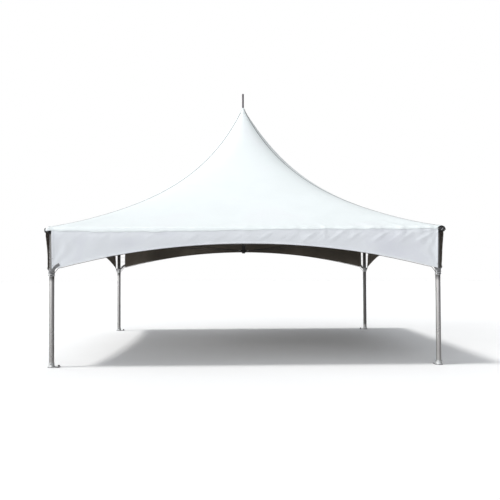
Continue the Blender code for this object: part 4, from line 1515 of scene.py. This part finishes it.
def make_floor(scene):
    """A wide flat disc just under the tent's feet."""
    turns = round_turns(FLOOR_SIDES)
    low = np.full(FLOOR_SIDES, -0.0005)
    rim = np.stack([FLOOR_REACH * np.cos(turns), FLOOR_REACH * np.sin(turns), low], axis=-1)
    mesh = bpy.data.meshes.new("studio_floor")
    mesh.from_pydata(rim, [], [list(range(FLOOR_SIDES))])
    mesh.materials.append(finish_named("floor"))
    floor = bpy.data.objects.new("studio_floor", mesh)
    scene.collection.objects.link(floor)


def make_lights(scene):
    """Four soft suns, each turned to shine from its direction."""
    for name, direction, strength, softness, tint in LIGHTS:
        lamp = bpy.data.lights.new(name, "SUN")
        lamp.energy = strength
        lamp.angle = math.radians(softness)
        lamp.color = tint
        made = bpy.data.objects.new(name, lamp)
        made.rotation_euler = Vector(direction).to_track_quat("Z", "Y").to_euler()
        scene.collection.objects.link(made)


def make_sky(scene):
    """A white background for the camera, and for the tent a sky that changes from left to right."""
    world = bpy.data.worlds.new("studio")
    world.use_nodes = True
    nodes, links = world.node_tree.nodes, world.node_tree.links
    sky = nodes["Background"]
    sky.inputs["Color"].default_value = (*SKY_TINT, 1.0)
    place = nodes.new("ShaderNodeTexCoord")
    split = nodes.new("ShaderNodeSeparateXYZ")
    across = nodes.new("ShaderNodeMapRange")
    for name, number in (("From Min", -1.0), ("From Max", 1.0), ("To Min", 0.0), ("To Max", 1.0)):
        across.inputs[name].default_value = number
    fade = nodes.new("ShaderNodeValToRGB")
    while len(fade.color_ramp.elements) < len(SKY_STOPS):
        fade.color_ramp.elements.new(0.5)
    for element, (position, strength) in zip(fade.color_ramp.elements, SKY_STOPS):
        element.position = position
        element.color = (strength, strength, strength, 1.0)
    links.new(place.outputs["Generated"], split.inputs["Vector"])
    links.new(split.outputs["X"], across.inputs["Value"])
    links.new(across.outputs["Result"], fade.inputs["Fac"])
    links.new(fade.outputs["Color"], sky.inputs["Strength"])
    plain = nodes.new("ShaderNodeBackground")
    plain.inputs["Color"].default_value = (1.0, 1.0, 1.0, 1.0)
    plain.inputs["Strength"].default_value = 1.0
    paths = nodes.new("ShaderNodeLightPath")
    mix = nodes.new("ShaderNodeMixShader")
    links.new(paths.outputs["Is Camera Ray"], mix.inputs["Fac"])
    links.new(sky.outputs["Background"], mix.inputs[1])
    links.new(plain.outputs["Background"], mix.inputs[2])
    links.new(mix.outputs["Shader"], nodes["World Output"].inputs["Surface"])
    scene.world = world


def make_camera(scene):
    """The camera at the photograph's place: turned to the right by its yaw, up by its pitch, and rolled."""
    camera = bpy.data.cameras.new("view")
    camera.lens = CAMERA_LENS
    camera.sensor_width = 36.0
    camera.sensor_fit = "HORIZONTAL"
    camera.clip_end = 300.0
    made = bpy.data.objects.new("view", camera)
    upright = Matrix.Rotation(-CAMERA_YAW, 4, "Z") @ Matrix.Rotation(math.pi / 2 + CAMERA_PITCH, 4, "X")
    made.matrix_world = Matrix.Translation(CAMERA_AT) @ upright @ Matrix.Rotation(-CAMERA_ROLL, 4, "Z")
    scene.collection.objects.link(made)
    scene.camera = made


# Operators


class MARQUEE_OT_stage(bpy.types.Operator):
    """Make the floor, the lights and the camera"""

    bl_idname = "marquee.stage"
    bl_label = "Stage"

    def execute(self, context):
        make_floor(context.scene)
        make_lights(context.scene)
        make_sky(context.scene)
        context.scene.view_settings.view_transform = "Standard"
        make_camera(context.scene)
        return {"FINISHED"}


class MARQUEE_OT_metalwork(bpy.types.Operator):
    """Make the tubes, joints, clamps and feet, and give the solids their finishes"""

    bl_idname = "marquee.metalwork"
    bl_label = "Metalwork"

    def execute(self, context):
        dress_metalwork()
        for quarter in range(4):
            make_tubes(quarter)
            make_corner_joint(quarter)
            make_clamp(quarter)
            make_foot(quarter)
        return {"FINISHED"}


class MARQUEE_OT_canopy(bpy.types.Operator):
    """Make the tensioned top with its hip seams and peak cap"""

    bl_idname = "marquee.canopy"
    bl_label = "Top"

    def execute(self, context):
        top = make_canopy()
        seams = make_hip_seams()
        cap = make_peak_cap()
        return {"FINISHED"}


class MARQUEE_OT_valances(bpy.types.Operator):
    """Make the four arched valances"""

    bl_idname = "marquee.valances"
    bl_label = "Valances"

    def execute(self, context):
        for quarter in range(4):
            make_valance(quarter)
        return {"FINISHED"}


class MARQUEE_OT_rigging(bpy.types.Operator):
    """Make the hem cables, the crossing cables and the corner webbing"""

    bl_idname = "marquee.rigging"
    bl_label = "Rigging"

    def execute(self, context):
        for quarter in range(4):
            make_hem_cable(quarter)
            make_cross_cable(quarter)
            webbing, length = make_corner_strap(quarter)
        return {"FINISHED"}


class MARQUEE_OT_fixings(bpy.types.Operator):
    """Make the plugs, screws, clamp bolts, lacing and foot details"""

    bl_idname = "marquee.fixings"
    bl_label = "Fixings"

    def execute(self, context):
        for quarter in range(4):
            make_corner_details(quarter)
            make_clamp_bolts(quarter)
            make_lacing(quarter)
            make_foot_details(quarter)
        return {"FINISHED"}


class MARQUEE_PT_panel(bpy.types.Panel):
    """Lists the marquee's sizes, colours and makers"""

    bl_idname = "MARQUEE_PT_panel"
    bl_label = "Marquee"
    bl_space_type = "VIEW_3D"
    bl_region_type = "UI"
    bl_category = "Marquee"

    def draw(self, context):
        for group in (context.scene.marquee_sizes, context.scene.marquee_colours):
            column = self.layout.column()
            for name in group.__annotations__:
                column.prop(group, name)
        for operator in OPERATORS:
            self.layout.operator(operator.bl_idname)


OPERATORS = (
    MARQUEE_OT_stage,
    MARQUEE_OT_metalwork,
    MARQUEE_OT_canopy,
    MARQUEE_OT_valances,
    MARQUEE_OT_rigging,
    MARQUEE_OT_fixings,
)
CLASSES = (MarqueeSizes, MarqueeColours, *OPERATORS, MARQUEE_PT_panel)


def register():
    """Makes the classes known, and gives the scene its sizes and colours."""
    for made in CLASSES:
        bpy.utils.register_class(made)
    bpy.types.Scene.marquee_sizes = PointerProperty(type=MarqueeSizes)
    bpy.types.Scene.marquee_colours = PointerProperty(type=MarqueeColours)


def unregister():
    """Takes back what register did."""
    del bpy.types.Scene.marquee_colours
    del bpy.types.Scene.marquee_sizes
    for made in reversed(CLASSES):
        bpy.utils.unregister_class(made)


def main():
    """Makes the tent piece by piece."""
    register()
    bpy.ops.marquee.stage()
    bpy.ops.marquee.metalwork()
    bpy.ops.marquee.canopy()
    bpy.ops.marquee.valances()
    bpy.ops.marquee.rigging()
    bpy.ops.marquee.fixings()
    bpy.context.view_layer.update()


if __name__ == "__main__":
    main()
